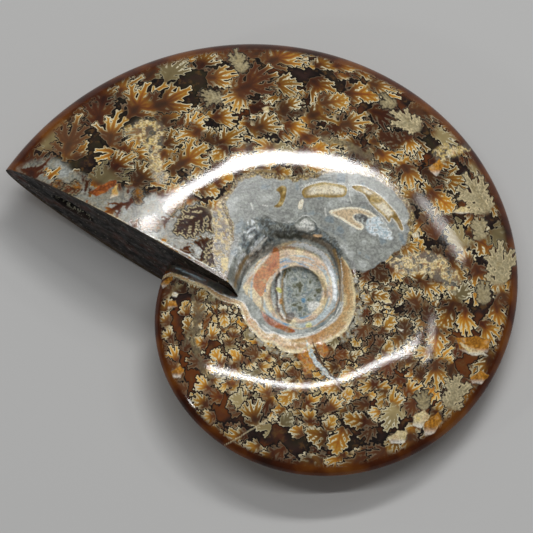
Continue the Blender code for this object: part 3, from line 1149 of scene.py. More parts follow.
def paint_veins(paint):
    """Cracks that calcite has filled, and the paler pieces beside them."""
    amber = paint.mottled((WARM_RUST, AMBER, TAN, RUST, AMBER), 5.0, 175, 1.2)
    for outline in AMBER_PIECES:
        paint.spot(amber, outline, edge=3.0, wobble=3.0, strength=0.85, dull=0.1)
    vein = paint.mottled((PALE_BLUE, WHITE, PALE_BLUE, CREAM), 3.0, 177, 1.2)
    paint.line(vein, 4.6, VEIN, edge=1.2, wobble=2.0, taper=0.5, strength=1.0, dull=0.15)
    paint.line(BROWN, 1.6, VEIN_SHADE, edge=0.9, wobble=0.8, taper=0.3, strength=1.0, dull=0.15)
    paint.line(PINK_CREAM, 1.0, VEIN_END, edge=0.7, wobble=0.5, taper=0.4, dull=0.1)
    paint.line(CREAM, 1.1, LOWER_VEIN, edge=0.7, wobble=0.8, taper=0.3, dull=0.1)


CHIP_FILLS = {
    "cream": (YELLOW_CREAM, CREAM, TAN),
    "white": (WHITE, CREAM, WHITE),
    "amber": (AMBER, DEEP_AMBER, AMBER, TAN),
    "orange": (RUST, DARK_RUST, RUST, DEEP_AMBER),
    "gold": (AMBER, YELLOW_CREAM, AMBER),
}
CHIPS = (
    ("gold", ((109, 199), (117, 183), (118, 196))),
    ("cream", ((262, 108), (268, 107), (268, 112), (264, 113))),
    ("cream", ((257, 114), (262, 115), (260, 118))),
    ("cream", ((453, 213), (461, 207), (470, 208), (469, 213), (460, 214))),
    ("white", ((412, 233), (418, 233), (419, 237), (414, 238))),
    ("white", ((173, 292), (179, 293), (177, 297), (172, 296))),
    ("amber", ((160, 283), (172, 276), (173, 280), (162, 288))),
    ("amber", ((456, 338), (470, 336), (492, 340), (487, 352), (472, 355), (459, 349))),
    ("cream", ((458, 342), (466, 345), (482, 352), (488, 356), (470, 354))),
    ("amber", ((470, 377), (482, 370), (489, 375), (482, 384), (472, 383))),
    ("cream", ((388, 437), (398, 430), (408, 434), (404, 443), (392, 443))),
    ("cream", ((413, 417), (424, 410), (430, 416), (421, 428), (412, 426))),
    ("amber", ((424, 424), (438, 412), (442, 420), (433, 434), (424, 436))),
    ("amber", ((428, 168), (440, 158), (444, 166), (436, 176))),
    ("cream", ((446, 152), (455, 147), (456, 154), (449, 158))),
    ("amber", ((168, 301), (176, 300), (177, 307), (169, 309))),
    ("orange", ((89, 192), (98, 186), (108, 182), (116, 180), (115, 187), (106, 191), (97, 196))),
    ("cream", ((385, 300), (389, 299), (391, 303), (386, 304))),
    ("white", ((397, 327), (404, 329), (402, 331))),
    ("amber", ((172, 372), (180, 364), (184, 370), (180, 378), (173, 376))),
)


def paint_chips(paint):
    """Angular flakes of shell that the polish has cut through, whitest at their near edge."""
    for kind, outline in CHIPS:
        part = paint.near(outline, 3.0)
        share = patch(part.at, outline, 1.0, 1.6, sharp=True)
        part.lay(part.mottled(CHIP_FILLS[kind], 4.5, 141), share, 0.1)
        if kind != "orange":
            low, high = min(y for _, y in outline), max(y for _, y in outline)
            near_edge = smooth((part.at[:, 1] - low) / (high - low), 0.60, 0.95)
            part.lay(WHITE, 0.75 * share * near_edge, 0.1)
        paint.take(part)


LEAF_FILLS = {
    "olive": (OLIVE_LEAF, PALE_OLIVE, OLIVE_LEAF * 0.85),
    "pale": (PALE_OLIVE, OLIVE_LEAF, PALE_OLIVE),
    "purple": (PURPLE_BROWN, BROWN, PURPLE_BROWN),
    "brown": (RED_BROWN, BROWN, DEEP_AMBER, RED_BROWN),
    "orange": (RUST, DEEP_AMBER, RED_BROWN),
}
# Leaves placed one by one: fill, where the stem starts, heading in degrees, length, and if pointed
HAND_LEAVES = (
    ("olive", (490, 215), 238, 45, True), ("olive", (481, 242), 250, 26, True),
    ("olive", (499, 289), 270, 46, True), ("olive", (484, 306), 265, 24, True),
    ("olive", (422, 131), 212, 33, True), ("pale", (398, 105), 195, 20, True),
    ("olive", (448, 411), 292, 38, True), ("pale", (424, 412), 270, 22, True),
    ("pale", (244, 74), 250, 24, True), ("olive", (223, 99), 190, 22, True),
    ("purple", (215, 207), 137, 46, False), ("purple", (219, 236), 108, 32, False),
    ("brown", (164, 222), 170, 24, False), ("orange", (186, 194), 140, 26, False),
    ("brown", (137, 186), 80, 18, False), ("brown", (84, 186), 175, 22, False),
    ("brown", (62, 178), 120, 16, False),
)
HAND_LEAF_SMALLNESS = 0.2


def paint_leaf(paint, stem, heading, length, fills, pointed):
    """One listed leaf: dark round it, then its cream edge, then its own colours."""
    part = paint.near((stem,), length * 1.1)
    turn, lean = math.cos(math.radians(heading)), math.sin(math.radians(heading))
    x, y = ((part.at - stem) / length).T
    placed = np.stack((turn * x + lean * y, -lean * x + turn * y), -1)
    random = np.random.default_rng(int(stem[0] * 7 + stem[1]))
    strokes = leaf_strokes(random, pointed, HAND_LEAF_SMALLNESS)
    strokes[:, 4:] *= 0.86 + 2.5 / length
    depth = stroke_depth(placed, strokes) * length
    held = smooth(placed[:, 0], 0.0, 0.25)
    part.lay(BLACK_BROWN, held * smooth(depth, -1.7, -0.7), 0.02)
    edge = 0.25 + 0.55 * smooth(length, 18, 34)
    part.lay(CREAM, edge * held * smooth(depth, -0.5, 0.0), 0.02)
    within = 0.1 + 0.3 * smooth(length, 20, 36)
    part.lay(part.mottled(fills, 6.0, 145), held * smooth(depth, within, within + 0.6), 0.02)
    paint.take(part)


# Bare olive strips between the leaves: the width and points of each
BRANCHES = (
    (6.0, ((192, 291), (197, 306), (197, 322), (194, 340), (198, 358), (206, 373))),
    (4.0, ((197, 322), (190, 332), (186, 343))),
    (3.5, ((197, 318), (203, 308), (207, 300))),
    (4.0, ((206, 373), (216, 377), (226, 376))),
    (9.0, ((348, 144), (358, 152), (372, 158))),
    (6.0, ((322, 140), (336, 141), (350, 146))),
)


def paint_branches(paint):
    for width, points in BRANCHES:
        part = paint.near(points, 10.0)
        olive = part.mottled((OLIVE_LEAF * 0.55, SHADE_BROWN, OLIVE_LEAF * 0.8), 8.0, 147)
        part.line(olive, width, points, edge=3.0, wobble=4.0, taper=0.3, dull=0.02)
        paint.take(part)


# What is laid in each region, in order
REGIONS = (
    (paint_pale_crusts, PALE_CRUST + GRANULAR + MESSY_CRUST + RIM_CRUST),
    (paint_fringe, MATRIX), (paint_matrix, MATRIX), (paint_navel, NAVEL), (paint_ring, RING),
    (paint_cup_marks, RING), (paint_rust, RING), (paint_wall, NAVEL), (paint_cut_edge, CUT_EDGE),
    (paint_crust, NAVEL), (paint_band, BAND_OUTSIDE), (paint_veins, VEINS), (paint_foot, FOOT_SHADE),
)


def paint_everything(paint, leaf_depth):
    paint_silt(paint, leaf_depth)
    paint_branches(paint)
    for kind, stem, heading, length, pointed in HAND_LEAVES:
        paint_leaf(paint, stem, heading, length, LEAF_FILLS[kind], pointed)
    for work, region in REGIONS:
        part = paint.near(region)
        work(part)
        paint.take(part)
    paint_chips(paint)


# Relief, in millimetres
LUMP_RISE = 0.75
GROOVE_DROP = 0.5
GROOVE = ((338, 250), (343, 268), (342, 285), (342, 300), (336, 315))


def relief_of(at):
    """How far, in millimetres, the upper side is raised by crusts, layers and grains."""
    grain = noise(at, 2.4, 151, 3)
    lumps = noise(at, 7.0, 153, 2)
    raised = patch(at, DARK_CRUST, 4.0, 2.0) * (0.25 * grain + 0.35 * lumps)
    raised += LUMP_RISE * patch(at, LUMP, 7.0, 1.0)
    from_centre = np.hypot(*(at - RING_CENTRE).T)
    cup = 1 - smooth(from_centre, CUP_IN_PICTURE - 2, CUP_IN_PICTURE + 1)
    raised += cup * (0.22 * grain + 0.30 * lumps)
    ring = patch(at, RING, 2.0) * (1 - cup)
    raised += ring * 0.10 * noise(np.stack((from_centre, from_centre * 0), -1), 2.5, 155)
    raised += 0.12 * (patch(at, NAVEL, 2.0) - ring - cup).clip(0, 1) * lumps
    return raised - GROOVE_DROP * stroke(at, GROOVE, 3.0, 2.0)


# The surfaces


WAVE_HEIGHT = 0.035
WAVE_SIZE = 9.0
NO_FAN = np.zeros((0, 3), int)


class Shell:
    """The whole skin of the shell as one grid, rings by columns, from one navel round to the other."""

    def __init__(self):
        columns = column_places()
        top = ring_radii(columns, UMBILICUS_RINGS, FLANK_RINGS)
        under = ring_radii(columns, UNDER_UMBILICUS_RINGS, UNDER_FLANK_RINGS)
        self.top_rings = len(top)
        self.radius = np.vstack((top, under[-2::-1]))
        self.column = np.broadcast_to(columns, self.radius.shape)
        self.turn = lying_down()
        self.offset = rest_offset(self.column[: self.top_rings], top)
        side = np.vstack((np.ones_like(top), -np.ones_like(under[:-1])))
        self.places = self.points(self.radius, self.column, side)
        self.normals = self.grid_normals()

    def placed(self, points):
        return points @ self.turn.T + self.offset

    def points(self, radius, column, side):
        """Points of the skin as it rests, with its relief; what lies below the table is ground off."""
        height = surface_height(radius, column)
        plain = self.placed(plain_points(radius, column, side * height))
        raised = WAVE_HEIGHT * noise(plain, WAVE_SIZE, 5, 2)
        at = in_picture(plain).reshape(-1, 2)
        upper = (side > 0).reshape(-1)
        features = np.zeros(upper.shape)
        features[upper] = relief_of(at[upper])
        raised = raised + features.reshape(radius.shape)
        raised = raised * smooth(height, 0.0, 3.0)
        placed = self.placed(plain_points(radius, column, side * (height + raised)))
        placed[..., 2] = np.maximum(placed[..., 2], 0.0)
        return placed

    def grid_normals(self):
        """Which way the skin faces at each place, the same on both sides of a seam between pieces."""
        outward = np.gradient(self.places, axis=0)
        around = np.gradient(self.places, axis=1)
        for rings in self.closed_rings():
            wrapped = self.places[rings]
            across = (wrapped[:, 1] - wrapped[:, -2]) / 2
            around[rings, 0] = across
            around[rings, -1] = across
        normals = np.cross(outward, around)
        return normals / np.maximum(np.linalg.norm(normals, axis=-1, keepdims=True), 1e-12)

    def closed_rings(self):
        """Rings that run unbroken round the centre, above and below."""
        above = np.arange(UMBILICUS_RINGS)
        below = np.arange(len(self.radius) - UNDER_UMBILICUS_RINGS, len(self.radius))
        return above, below


def grid_faces(rings, columns, flip=False):
    """Corner numbers of the four-sided faces of a grid."""
    numbers = np.arange(rings * columns).reshape(rings, columns)
    corners = (numbers[:-1, :-1], numbers[1:, :-1], numbers[1:, 1:], numbers[:-1, 1:])
    if flip:
        corners = corners[::-1]
    return np.stack(corners, -1).reshape(-1, 4)


def new_mesh(name, points, quads, fan=NO_FAN, normals=None, numbers=None, colours=None):
    """A mesh in metres, of quads and a fan of triangles, with named values on its vertices."""
    data = bpy.data.meshes.new(name)
    data.vertices.add(len(points))
    data.vertices.foreach_set("co", (points * MM).astype(np.float32).ravel())
    corners = np.concatenate((quads.ravel(), fan.ravel()))
    sizes = np.repeat((4, 3), (len(quads), len(fan)))
    data.loops.add(len(corners))
    data.loops.foreach_set("vertex_index", corners.astype(np.int32))
    data.polygons.add(len(sizes))
    data.polygons.foreach_set("loop_start", (np.cumsum(sizes) - sizes).astype(np.int32))
    data.update(calc_edges=True)
    data.shade_smooth()
    for label, values in (numbers or {}).items():
        layer = data.attributes.new(label, "FLOAT", "POINT")
        layer.data.foreach_set("value", values.astype(np.float32).ravel())
    for label, values in (colours or {}).items():
        layer = data.attributes.new(label, "FLOAT_COLOR", "POINT")
        full = np.concatenate((values, np.ones((len(values), 1))), -1)
        layer.data.foreach_set("color", full.astype(np.float32).ravel())
    if normals is not None:
        data.normals_split_custom_set_from_vertices(normals)
    return data


def add_piece(name, data, material):
    """An object of the shell, which rides on its body and stands for the plain solid."""
    data.materials.append(material)
    piece = bpy.data.objects.new(name, data)
    bpy.context.scene.collection.objects.link(piece)
    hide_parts(NODE)
    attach(piece, "root")
    return piece


def skin_piece(shell, name, rings, columns, looks, material, tip=None):
    """One part of the skin as a mesh piece; tip closes the ring at the centre of coiling."""
    values, colours = looks
    part = (slice(*rings), slice(*columns))
    count = shell.places[part].shape[:2]
    points = shell.places[part].reshape(-1, 3)
    normals = shell.normals[part].reshape(-1, 3)
    numbers = {label: grid[part].reshape(-1) for label, grid in values.items()}
    paints = {label: grid[part].reshape(-1, 3) for label, grid in colours.items()}
    fan = NO_FAN
    if tip is not None:
        ring = np.arange(count[1]) + (0 if tip == "first" else (count[0] - 1) * count[1])
        pairs = np.stack((ring[:-1], ring[1:]), -1)
        pairs = pairs if tip == "first" else pairs[:, ::-1]
        fan = np.insert(pairs, 0, len(points), axis=1)
        points = np.vstack((points, points[ring].mean(0)))
        normals = np.vstack((normals, normals[ring].mean(0)))
        numbers = {label: np.append(kept, kept[ring].mean()) for label, kept in numbers.items()}
        paints = {label: np.vstack((kept, kept[ring].mean(0))) for label, kept in paints.items()}
    data = new_mesh(name, points, grid_faces(*count), fan, normals, numbers, paints)
    return add_piece(name, data, material)


SKIN_VALUES = (
    "leaf_depth", "leaf_line", "leaf_dark", "leaf_tint", "olive", "painted", "dull", "smooth_edge",
    "warmth",
)
UPPER_SEED = 11
UNDER_SEED = 29


def skin_values(shell):
    """The leaf pattern and the laid colours, as grids as large as the shell's."""
    top = slice(0, shell.top_rings)
    under = slice(shell.top_rings - 1, None)
    shape = shell.radius[top].shape
    values = {label: np.zeros(shell.radius.shape) for label in SKIN_VALUES}
    for part, seed in ((under, UNDER_SEED), (top, UPPER_SEED)):
        for label, grid in grow_leaves(shell.radius[part], shell.column[part], seed).items():
            values[label][part] = grid
    inward = np.log(outer_edge(cut_angle(shell.radius) + shell.column) / shell.radius)
    values["smooth_edge"] = 1 - smooth(inward, SMOOTH_EDGE * 0.45, SMOOTH_EDGE)
    at = in_picture(shell.places[top]).reshape(-1, 2)
    paint = Paint(at)
    paint_everything(paint, values["leaf_depth"][top].reshape(-1))
    values["painted"][top] = paint.share.reshape(shape)
    values["dull"][top] = paint.dull.reshape(shape)
    values["warmth"][top] = ground_warmth(at).reshape(shape)
    values["warmth"][under] = 0.4 * noise(shell.places[under][..., :2], 30.0, 173, 2)
    values["olive"][top] *= 1 - patch(at, SILT_GROUND, 12.0, 4.0).reshape(shape)
    filled = paint.colour / np.maximum(paint.share, 1e-3)[:, None]
    filled = np.where(paint.share[:, None] > 0.01, filled, GREY)
    colours = {"paint": np.full((*shell.radius.shape, 3), GREY)}
    colours["paint"][top] = filled.reshape(*shape, 3)
    return values, colours


# The sawn face


FACE_ROWS = 18
FACE_ROUGHNESS = 0.16


def face_radii(shell):
    """Radii at which the sawn face is sampled: those of the columns on both sides of the cut."""
    rings = slice(UMBILICUS_RINGS - 1, shell.top_rings)
    return np.unique(np.concatenate((shell.radius[rings, -1], shell.radius[rings, 0][::2])))


def face_half(shell, radius, side):
    """Rows of points on the sawn face from the whorl before, or the middle, out to the flank."""
    start = float(column_ends(np.array([-TURN]))[0])
    outer = shell.points(radius, np.zeros_like(radius), np.full(radius.shape, side))
    before = np.minimum(radius, start)
    inner = shell.points(before, np.full(radius.shape, -TURN), np.full(radius.shape, side))
    middle = shell.placed(plain_points(radius, np.zeros_like(radius), np.zeros_like(radius)))
    inner = np.where((radius < start)[:, None], inner, middle)
    share = np.linspace(0, 1, FACE_ROWS)[:, None, None]
    return inner * (1 - share) + outer * share


def pocket_depth(along, up):
    """How deep the hollow in the sawn face is here."""
    x = (along - POCKET_RADIUS) / POCKET_SIZE[0]
    y = (up - POCKET_HEIGHT) / POCKET_SIZE[1]
    return POCKET_SIZE[2] * np.sqrt(np.clip(1 - x * x - y * y, 0.0, 1.0))


def make_face(shell, side, name, material):
    """One half of the sawn face, above or below the middle, with its hollow and its roughness."""
    radius = face_radii(shell)
    points = face_half(shell, radius, side)
    flat = (points - shell.offset) @ shell.turn
    along = flat @ np.array((math.cos(CUT_DIRECTION), math.sin(CUT_DIRECTION), 0.0))
    up = flat[..., 2]
    row_share = np.broadcast_to(np.linspace(0, 1, FACE_ROWS)[:, None], along.shape)
    start = float(column_ends(np.array([-TURN]))[0])
    from_inside = np.where(along < start, row_share, 1.0)
    edge = np.minimum(row_share, from_inside)
    held = smooth(1 - row_share, 0.0, 0.12) * smooth(from_inside, 0, 0.12)
    rough = noise(np.stack((along * 0.5, up * 1.5), -1), 1.3, 171, 3)
    hollow = pocket_depth(along + 0.5 * rough, up + 0.4 * rough)
    deep = held * (hollow + FACE_ROUGHNESS * (0.5 + rough))
    facing = np.array((-math.sin(CUT_DIRECTION), math.cos(CUT_DIRECTION), 0.0))
    points = points - deep[..., None] * (shell.turn @ facing)
    points[..., 2] = np.maximum(points[..., 2], 0.0)
    numbers = {"hollow": hollow, "up": up, "edge": edge}
    faces = grid_faces(*along.shape, flip=side < 0)
    data = new_mesh(name, points.reshape(-1, 3), faces, numbers=numbers)
    return add_piece(name, data, material)


# Materials


# Numbers of the mix node's sockets for colours
MIX_FIRST = 6
MIX_SECOND = 7
MIX_RESULT = 2


class Nodes:
    """Short ways to add and join the nodes of one material."""

    def __init__(self, name):
        self.material = bpy.data.materials.new(name)
        self.material.use_nodes = True
        self.tree = self.material.node_tree
        self.shader = self.tree.nodes["Principled BSDF"]

    def put(self, socket, value):
        if isinstance(value, bpy.types.NodeSocket):
            self.tree.links.new(value, socket)
        elif isinstance(value, np.ndarray):
            socket.default_value = (*value.tolist(), 1.0)
        else:
            socket.default_value = value

    def shade(self, label, value):
        """Gives the shader itself this value."""
        self.put(self.shader.inputs[label], value)

    def value(self, name, output="Fac"):
        """A value that the mesh has on its vertices."""
        node = self.tree.nodes.new("ShaderNodeAttribute")
        node.attribute_name = name
        return node.outputs[output]

    def maths(self, operation, first, second=0.0, third=0.0, clamp=False):
        node = self.tree.nodes.new("ShaderNodeMath")
        node.operation = operation
        node.use_clamp = clamp
        for socket, value in zip(node.inputs, (first, second, third)):
            self.put(socket, value)
        return node.outputs[0]

    def times(self, first, second):
        return self.maths("MULTIPLY", first, second)

    def mix(self, share, first, second, blend="MIX"):
        node = self.tree.nodes.new("ShaderNodeMix")
        node.data_type = "RGBA"
        node.blend_type = blend
        self.put(node.inputs["Factor"], share)
        self.put(node.inputs[MIX_FIRST], first)
        self.put(node.inputs[MIX_SECOND], second)
        return node.outputs[MIX_RESULT]

    def brightened(self, colour, factor):
        """The colour times this factor."""
        grey = self.tree.nodes.new("ShaderNodeCombineColor")
        for socket in grey.inputs:
            self.put(socket, factor)
        return self.mix(1.0, colour, grey.outputs["Color"], "MULTIPLY")

    def between(self, value, low, high, to_low=0.0, to_high=1.0, even=True):
        """Turns values from low to high into values from to_low to to_high, and holds the rest."""
        node = self.tree.nodes.new("ShaderNodeMapRange")
        node.interpolation_type = "SMOOTHSTEP" if even else "LINEAR"
        self.put(node.inputs["Value"], value)
        labels = ("From Min", "From Max", "To Min", "To Max")
        for label, limit in zip(labels, (low, high, to_low, to_high)):
            node.inputs[label].default_value = limit
        return node.outputs["Result"]

    def ramp(self, value, low, high, stops):
        """Colours at given values between low and high."""
        node = self.tree.nodes.new("ShaderNodeValToRGB")
        elements = node.color_ramp.elements
        while len(elements) < len(stops):
            elements.new(1.0)
        for element, (place, colour) in zip(elements, stops):
            element.position = (place - low) / (high - low)
            element.color = (*colour.tolist(), 1.0)
        self.put(node.inputs["Fac"], self.between(value, low, high, even=False))
        return node.outputs["Color"]

    def noise(self, size, detail=2.0, roughness=0.5):
        """Noise whose lumps are this size in millimetres, fixed to the object."""
        place = self.tree.nodes.new("ShaderNodeTexCoord")
        node = self.tree.nodes.new("ShaderNodeTexNoise")
        node.inputs["Scale"].default_value = 1 / (size * MM)
        node.inputs["Detail"].default_value = detail
        node.inputs["Roughness"].default_value = roughness
        self.put(node.inputs["Vector"], place.outputs["Object"])
        return node.outputs["Fac"]

    def bump(self, height, strength, distance):
        node = self.tree.nodes.new("ShaderNodeBump")
        self.put(node.inputs["Strength"], strength)
        node.inputs["Distance"].default_value = distance * MM
        self.put(node.inputs["Height"], height)
        return node.outputs["Normal"]


# Depth in a leaf, in millimetres, and the colour there: in its fingers, near its stem, or olive
OUTSIDE_COLOURS = ((-1.6, seen(66, 44, 38)), (-0.6, seen(46, 31, 26)), (-0.06, seen(22, 15, 12)))
FINGER_COLOURS = OUTSIDE_COLOURS + (
    (0.04, seen(228, 192, 110)), (0.20, seen(218, 164, 60)), (0.42, seen(198, 126, 38)),
    (0.70, seen(164, 86, 28)), (1.3, seen(122, 60, 24)),
)
STEM_COLOURS = OUTSIDE_COLOURS + (
    (0.05, seen(98, 56, 28)), (0.35, seen(94, 46, 24)), (0.8, seen(76, 38, 24)),
    (1.6, seen(60, 34, 28)),
)
OLIVE_COLOURS = OUTSIDE_COLOURS + (
    (0.04, seen(190, 176, 130)), (0.2, seen(168, 150, 104)), (1.6, seen(140, 124, 84)),
)
DEEPEST = 1.6
LINE_COLOUR = seen(250, 240, 204)
LINE_WIDTH = 0.155
AMBER_GROUND = seen(130, 68, 20)
MOSSY_STONE = seen(54, 50, 28)
GROUND_FLECKS = seen(116, 84, 44)


def leaf_colours(nodes):
    """Amber leaves with a cream edge on near-black stone, from the values on the mesh."""
    frill = nodes.maths("SUBTRACT", nodes.noise(0.75, 1.0, 0.5), 0.5)
    depth = nodes.maths("MULTIPLY_ADD", frill, 0.14, nodes.value("leaf_depth"))
    cloudy = nodes.maths("MULTIPLY_ADD", nodes.noise(3.0, 3.0), 0.6, -0.3)
    dark = nodes.maths("ADD", nodes.value("leaf_dark"), cloudy, clamp=True)
    fingers = nodes.ramp(depth, -DEEPEST, DEEPEST, FINGER_COLOURS)
    leaf = nodes.mix(dark, fingers, nodes.ramp(depth, -DEEPEST, DEEPEST, STEM_COLOURS))
    olive = nodes.ramp(depth, -DEEPEST, DEEPEST, OLIVE_COLOURS)
    leaf = nodes.mix(nodes.value("olive"), leaf, olive)
    tint = nodes.between(nodes.value("leaf_tint"), 0.0, 1.0, 0.5, 1.18, even=False)
    warmer = nodes.between(nodes.value("warmth"), 0.3, 1.0, 1.0, 1.3)
    leaf = nodes.brightened(leaf, nodes.times(tint, warmer))
    leaf = nodes.mix(edge_line(nodes, depth, dark), leaf, LINE_COLOUR)
    outside = nodes.between(depth, -0.4, -0.1, 1.0, 0.0)
    return nodes.mix(outside, leaf, ground_colours(nodes, leaf))


def edge_line(nodes, depth, dark):
    """The cream line along the edge of a leaf, in places stronger, and fainter near its stem."""
    inside = nodes.between(depth, LINE_WIDTH * 0.7, LINE_WIDTH * 1.3, 1.0, 0.0)
    line = nodes.times(nodes.between(depth, -0.06, 0.0), inside)
    strength = nodes.between(nodes.noise(2.2, 2.0), 0.35, 0.65, 0.4, 1.0)
    line = nodes.times(line, nodes.times(strength, nodes.value("leaf_line")))
    return nodes.times(line, nodes.between(dark, 0.35, 0.95, 1.0, 0.15))


def ground_colours(nodes, stone):
    """The clear stone between the leaves, amber or mossy in clouds, and flecked."""
    warmth = nodes.value("warmth")
    glow = nodes.maths("MULTIPLY_ADD", warmth, 0.20, nodes.noise(7.0, 3.0, 0.55))
    stone = nodes.mix(nodes.between(glow, 0.48, 0.72, 0.0, 0.75), stone, AMBER_GROUND)
    mossy = nodes.maths("MULTIPLY_ADD", warmth, -0.14, nodes.noise(12.0, 3.0, 0.6))
    stone = nodes.mix(nodes.between(mossy, 0.52, 0.68, 0.0, 0.7), stone, MOSSY_STONE)
    flecks = nodes.between(nodes.noise(1.6, 3.0, 0.6), 0.52, 0.70, 0.0, 0.6)
    return nodes.mix(flecks, stone, GROUND_FLECKS)


EDGE_COLOURS = (
    (0.30, seen(44, 22, 12)), (0.46, seen(80, 36, 14)), (0.58, seen(112, 60, 18)),
    (0.70, seen(134, 80, 26)),
)


def edge_colours(nodes):
    """The clear band along the venter: amber where thin, dark red-brown elsewhere."""
    return nodes.ramp(nodes.noise(9.0, 3.0, 0.55), 0.3, 0.7, EDGE_COLOURS)


def polished_stone():
    """The skin's material: leaves and ground, the clear band at the edge, and what is laid on."""
    nodes = Nodes("polished_ammonite_skin")
    clear_band = nodes.value("smooth_edge")
    colour = nodes.mix(clear_band, leaf_colours(nodes), edge_colours(nodes))
    grain = nodes.between(nodes.noise(0.5, 2.0, 0.6), 0.25, 0.75, 0.74, 1.5)
    grainy = nodes.brightened(nodes.value("paint", "Color"), grain)
    nodes.shade("Base Color", nodes.mix(nodes.value("painted"), colour, grainy))
    dull = nodes.value("dull")
    scuffs = nodes.between(nodes.noise(3.0, 4.0, 0.6), 0.4, 0.75, 0.0, 0.04)
    roughness = nodes.between(dull, 0.0, 1.0, 0.055, 0.75, even=False)
    nodes.shade("Roughness", nodes.maths("ADD", roughness, scuffs))
    strength = nodes.between(dull, 0.0, 1.0, 0.04, 0.9, even=False)
    nodes.shade("Normal", nodes.bump(nodes.noise(0.45, 3.0, 0.65), strength, 0.15))
    nodes.shade("Specular IOR Level", nodes.between(clear_band, 0.0, 1.0, 0.62, 0.22))
    nodes.shade("Metallic", 0.0)
    return nodes.material


LAYER_COLOURS = (
    (-1.0, seen(15, 12, 10)), (0.1, seen(28, 22, 19)), (0.8, seen(46, 36, 31)),
    (1.0, seen(56, 44, 37)),
)
FACE_RUST = seen(78, 40, 28)
FACE_SPECKS = seen(150, 144, 130)
# Painted shade darkens the hollow; its crystals are pale, with painted glints
FACE_HOLLOW_SHADE = seen(16, 14, 11)
FACE_CRYSTALS_AND_GLINTS = seen(206, 202, 176)
FACE_SHELL = seen(78, 60, 32)


def sawn_stone():
    """Near-black layered mud and calcite, with painted shade in the hollow and crystals there
    brightened as painted glints.
    """
    nodes = Nodes("sawn_face")
    bends = nodes.times(nodes.noise(5.0, 4.0, 0.6), 7.0)
    band = nodes.maths("SINE", nodes.maths("MULTIPLY_ADD", nodes.value("up"), 0.8, bends))
    colour = nodes.ramp(band, -1.0, 1.0, LAYER_COLOURS)
    rusty = nodes.between(nodes.noise(4.0, 3.0), 0.52, 0.66, 0.0, 0.75)
    specks = nodes.times(nodes.between(nodes.noise(0.7, 2.0), 0.64, 0.70), 0.8)
    # painted shade: the hollow is darkened to near-black
    in_hollow = nodes.between(nodes.value("hollow"), 0.15, 1.2)
    # crystals in the hollow, painted bright as glints
    crystals = nodes.times(nodes.between(nodes.noise(1.0, 3.0, 0.7), 0.52, 0.60), in_hollow)
    shell_edge = nodes.times(nodes.between(nodes.value("edge"), 0.84, 0.95), 0.7)
    for share, laid in (
        (rusty, FACE_RUST), (specks, FACE_SPECKS), (in_hollow, FACE_HOLLOW_SHADE),
        (crystals, FACE_CRYSTALS_AND_GLINTS), (shell_edge, FACE_SHELL),
    ):
        colour = nodes.mix(share, colour, laid)
    nodes.shade("Base Color", colour)
    nodes.shade("Roughness", nodes.between(nodes.noise(1.6, 3.0), 0.3, 0.7, 0.32, 0.6))
    nodes.shade("Specular IOR Level", 0.12)
    nodes.shade("Normal", nodes.bump(nodes.noise(1.4, 4.0, 0.6), 0.45, 0.2))
    return nodes.material


# Floor, light and camera

FLOOR_SIZE = 3.0
FLOOR_COLOUR = (0.66, 0.66, 0.65, 1.0)
FLOOR_ROUGHNESS = 0.8
WORLD_COLOUR = (0.98, 0.98, 1.0, 1.0)
WORLD_STRENGTH = 0.12
# Lamps: where each stands, its width and height, how bright it is and what it faces, in metres
LAMPS = (
    ("far_strip_left", (0.03, 0.452, 0.85), (0.16, 0.05), 28.0, (0.03, 0.0, 0.01)),
    ("far_strip_tip", (-0.10, 0.480, 0.85), (0.10, 0.02), 20.0, (-0.10, 0.0, 0.01)),
    ("far_strip_right", (0.25, 0.475, 0.85), (0.28, 0.09), 28.0, (0.25, 0.0, 0.01)),
    ("far_strip_end", (0.60, 0.40, 0.80), (0.26, 0.07), 6.0, (0.3, 0.0, 0.01)),
    ("near_strip", (0.0, 0.03, 0.85), (0.78, 0.024), 28.0, (0.0, 0.0, 0.01)),
    ("near_strip_end", (0.47, 0.03, 0.85), (0.16, 0.030), 7.0, (0.3, 0.0, 0.01)),
    ("left_lamp", (-0.98, -0.40, 0.56), (0.08, 0.10), 22.0, (0.0, 0.0, 0.01)),
)


def add_floor():
    half = FLOOR_SIZE / 2
    corners = [(-half, -half, 0), (half, -half, 0), (half, half, 0), (-half, half, 0)]
    data = bpy.data.meshes.new("floor")
    data.from_pydata(corners, [], [(0, 1, 2, 3)])
    nodes = Nodes("floor")
    nodes.shade("Base Color", FLOOR_COLOUR)
    nodes.shade("Roughness", FLOOR_ROUGHNESS)
    data.materials.append(nodes.material)
    floor = bpy.data.objects.new("floor", data)
    bpy.context.scene.collection.objects.link(floor)


def add_lamp(name, place, size, brightness, aim):
    """A soft rectangular lamp, as bright all over as the number says."""
    data = bpy.data.lights.new(name, "AREA")
    data.shape = "RECTANGLE"
    data.size, data.size_y = size
    data.energy = brightness * math.pi * size[0] * size[1]
    lamp = bpy.data.objects.new(name, data)
    lamp.location = place
    lamp.rotation_euler = (Vector(aim) - Vector(place)).to_track_quat("-Z", "Y").to_euler()
    lamp.visible_camera = False
    bpy.context.scene.collection.objects.link(lamp)


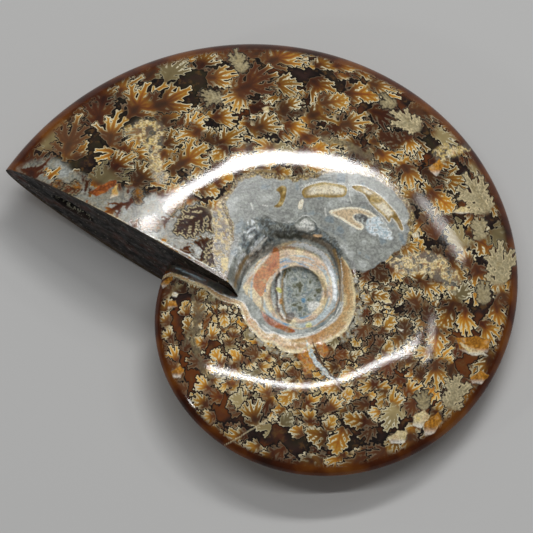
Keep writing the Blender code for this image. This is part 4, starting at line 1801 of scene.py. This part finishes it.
def add_light():
    """Dim even light from all round, and the lamps whose reflections the polish shows."""
    world = bpy.data.worlds.new("studio")
    world.use_nodes = True
    background = world.node_tree.nodes["Background"]
    background.inputs["Color"].default_value = WORLD_COLOUR
    background.inputs["Strength"].default_value = WORLD_STRENGTH
    bpy.context.scene.world = world
    bpy.context.scene.view_settings.view_transform = "Standard"
    for name, place, size, brightness, aim in LAMPS:
        add_lamp(name, place, size, brightness, aim)


def add_camera():
    right, up, forward = view_axes()
    data = bpy.data.cameras.new("camera")
    data.sensor_width = SENSOR_WIDTH
    data.lens = SENSOR_WIDTH * LENS_PIXELS / PICTURE_SIZE
    data.shift_x = (PICTURE_SIZE / 2 - PICTURE_CENTRE[0]) / PICTURE_SIZE
    data.shift_y = (PICTURE_CENTRE[1] - PICTURE_SIZE / 2) / PICTURE_SIZE
    camera = bpy.data.objects.new("camera", data)
    axes = Matrix((right, up, -forward)).transposed()
    camera.matrix_world = Matrix.Translation(Vector(eye_place()) * MM) @ axes.to_4x4()
    bpy.context.scene.collection.objects.link(camera)
    bpy.context.scene.camera = camera


def add_shell():
    """Every piece of the shell: its skin, the navels closed at their centres, and the sawn face."""
    shell = Shell()
    looks = skin_values(shell)
    skin = polished_stone()
    under_navel = len(shell.radius) - UNDER_UMBILICUS_RINGS
    skin_piece(shell, "navel_above", (0, UMBILICUS_RINGS), (0, None), looks, skin, tip="first")
    thirds = [COLUMNS * i // 3 for i in range(4)]
    for number, (first, last) in enumerate(zip(thirds, thirds[1:])):
        rings = (UMBILICUS_RINGS - 1, shell.top_rings)
        skin_piece(shell, f"flank_above_{number + 1}", rings, (first, last + 1), looks, skin)
    rings = (shell.top_rings - 1, under_navel + 1)
    for name, columns in (("early", (0, COLUMNS // 2 + 1)), ("late", (COLUMNS // 2, None))):
        skin_piece(shell, f"flank_below_{name}", rings, columns, looks, skin)
    skin_piece(shell, "navel_below", (under_navel, None), (0, None), looks, skin, tip="last")
    face = sawn_stone()
    make_face(shell, 1.0, "sawn_face_above", face)
    make_face(shell, -1.0, "sawn_face_below", face)


add_floor()
add_light()
add_camera()
add_shell()
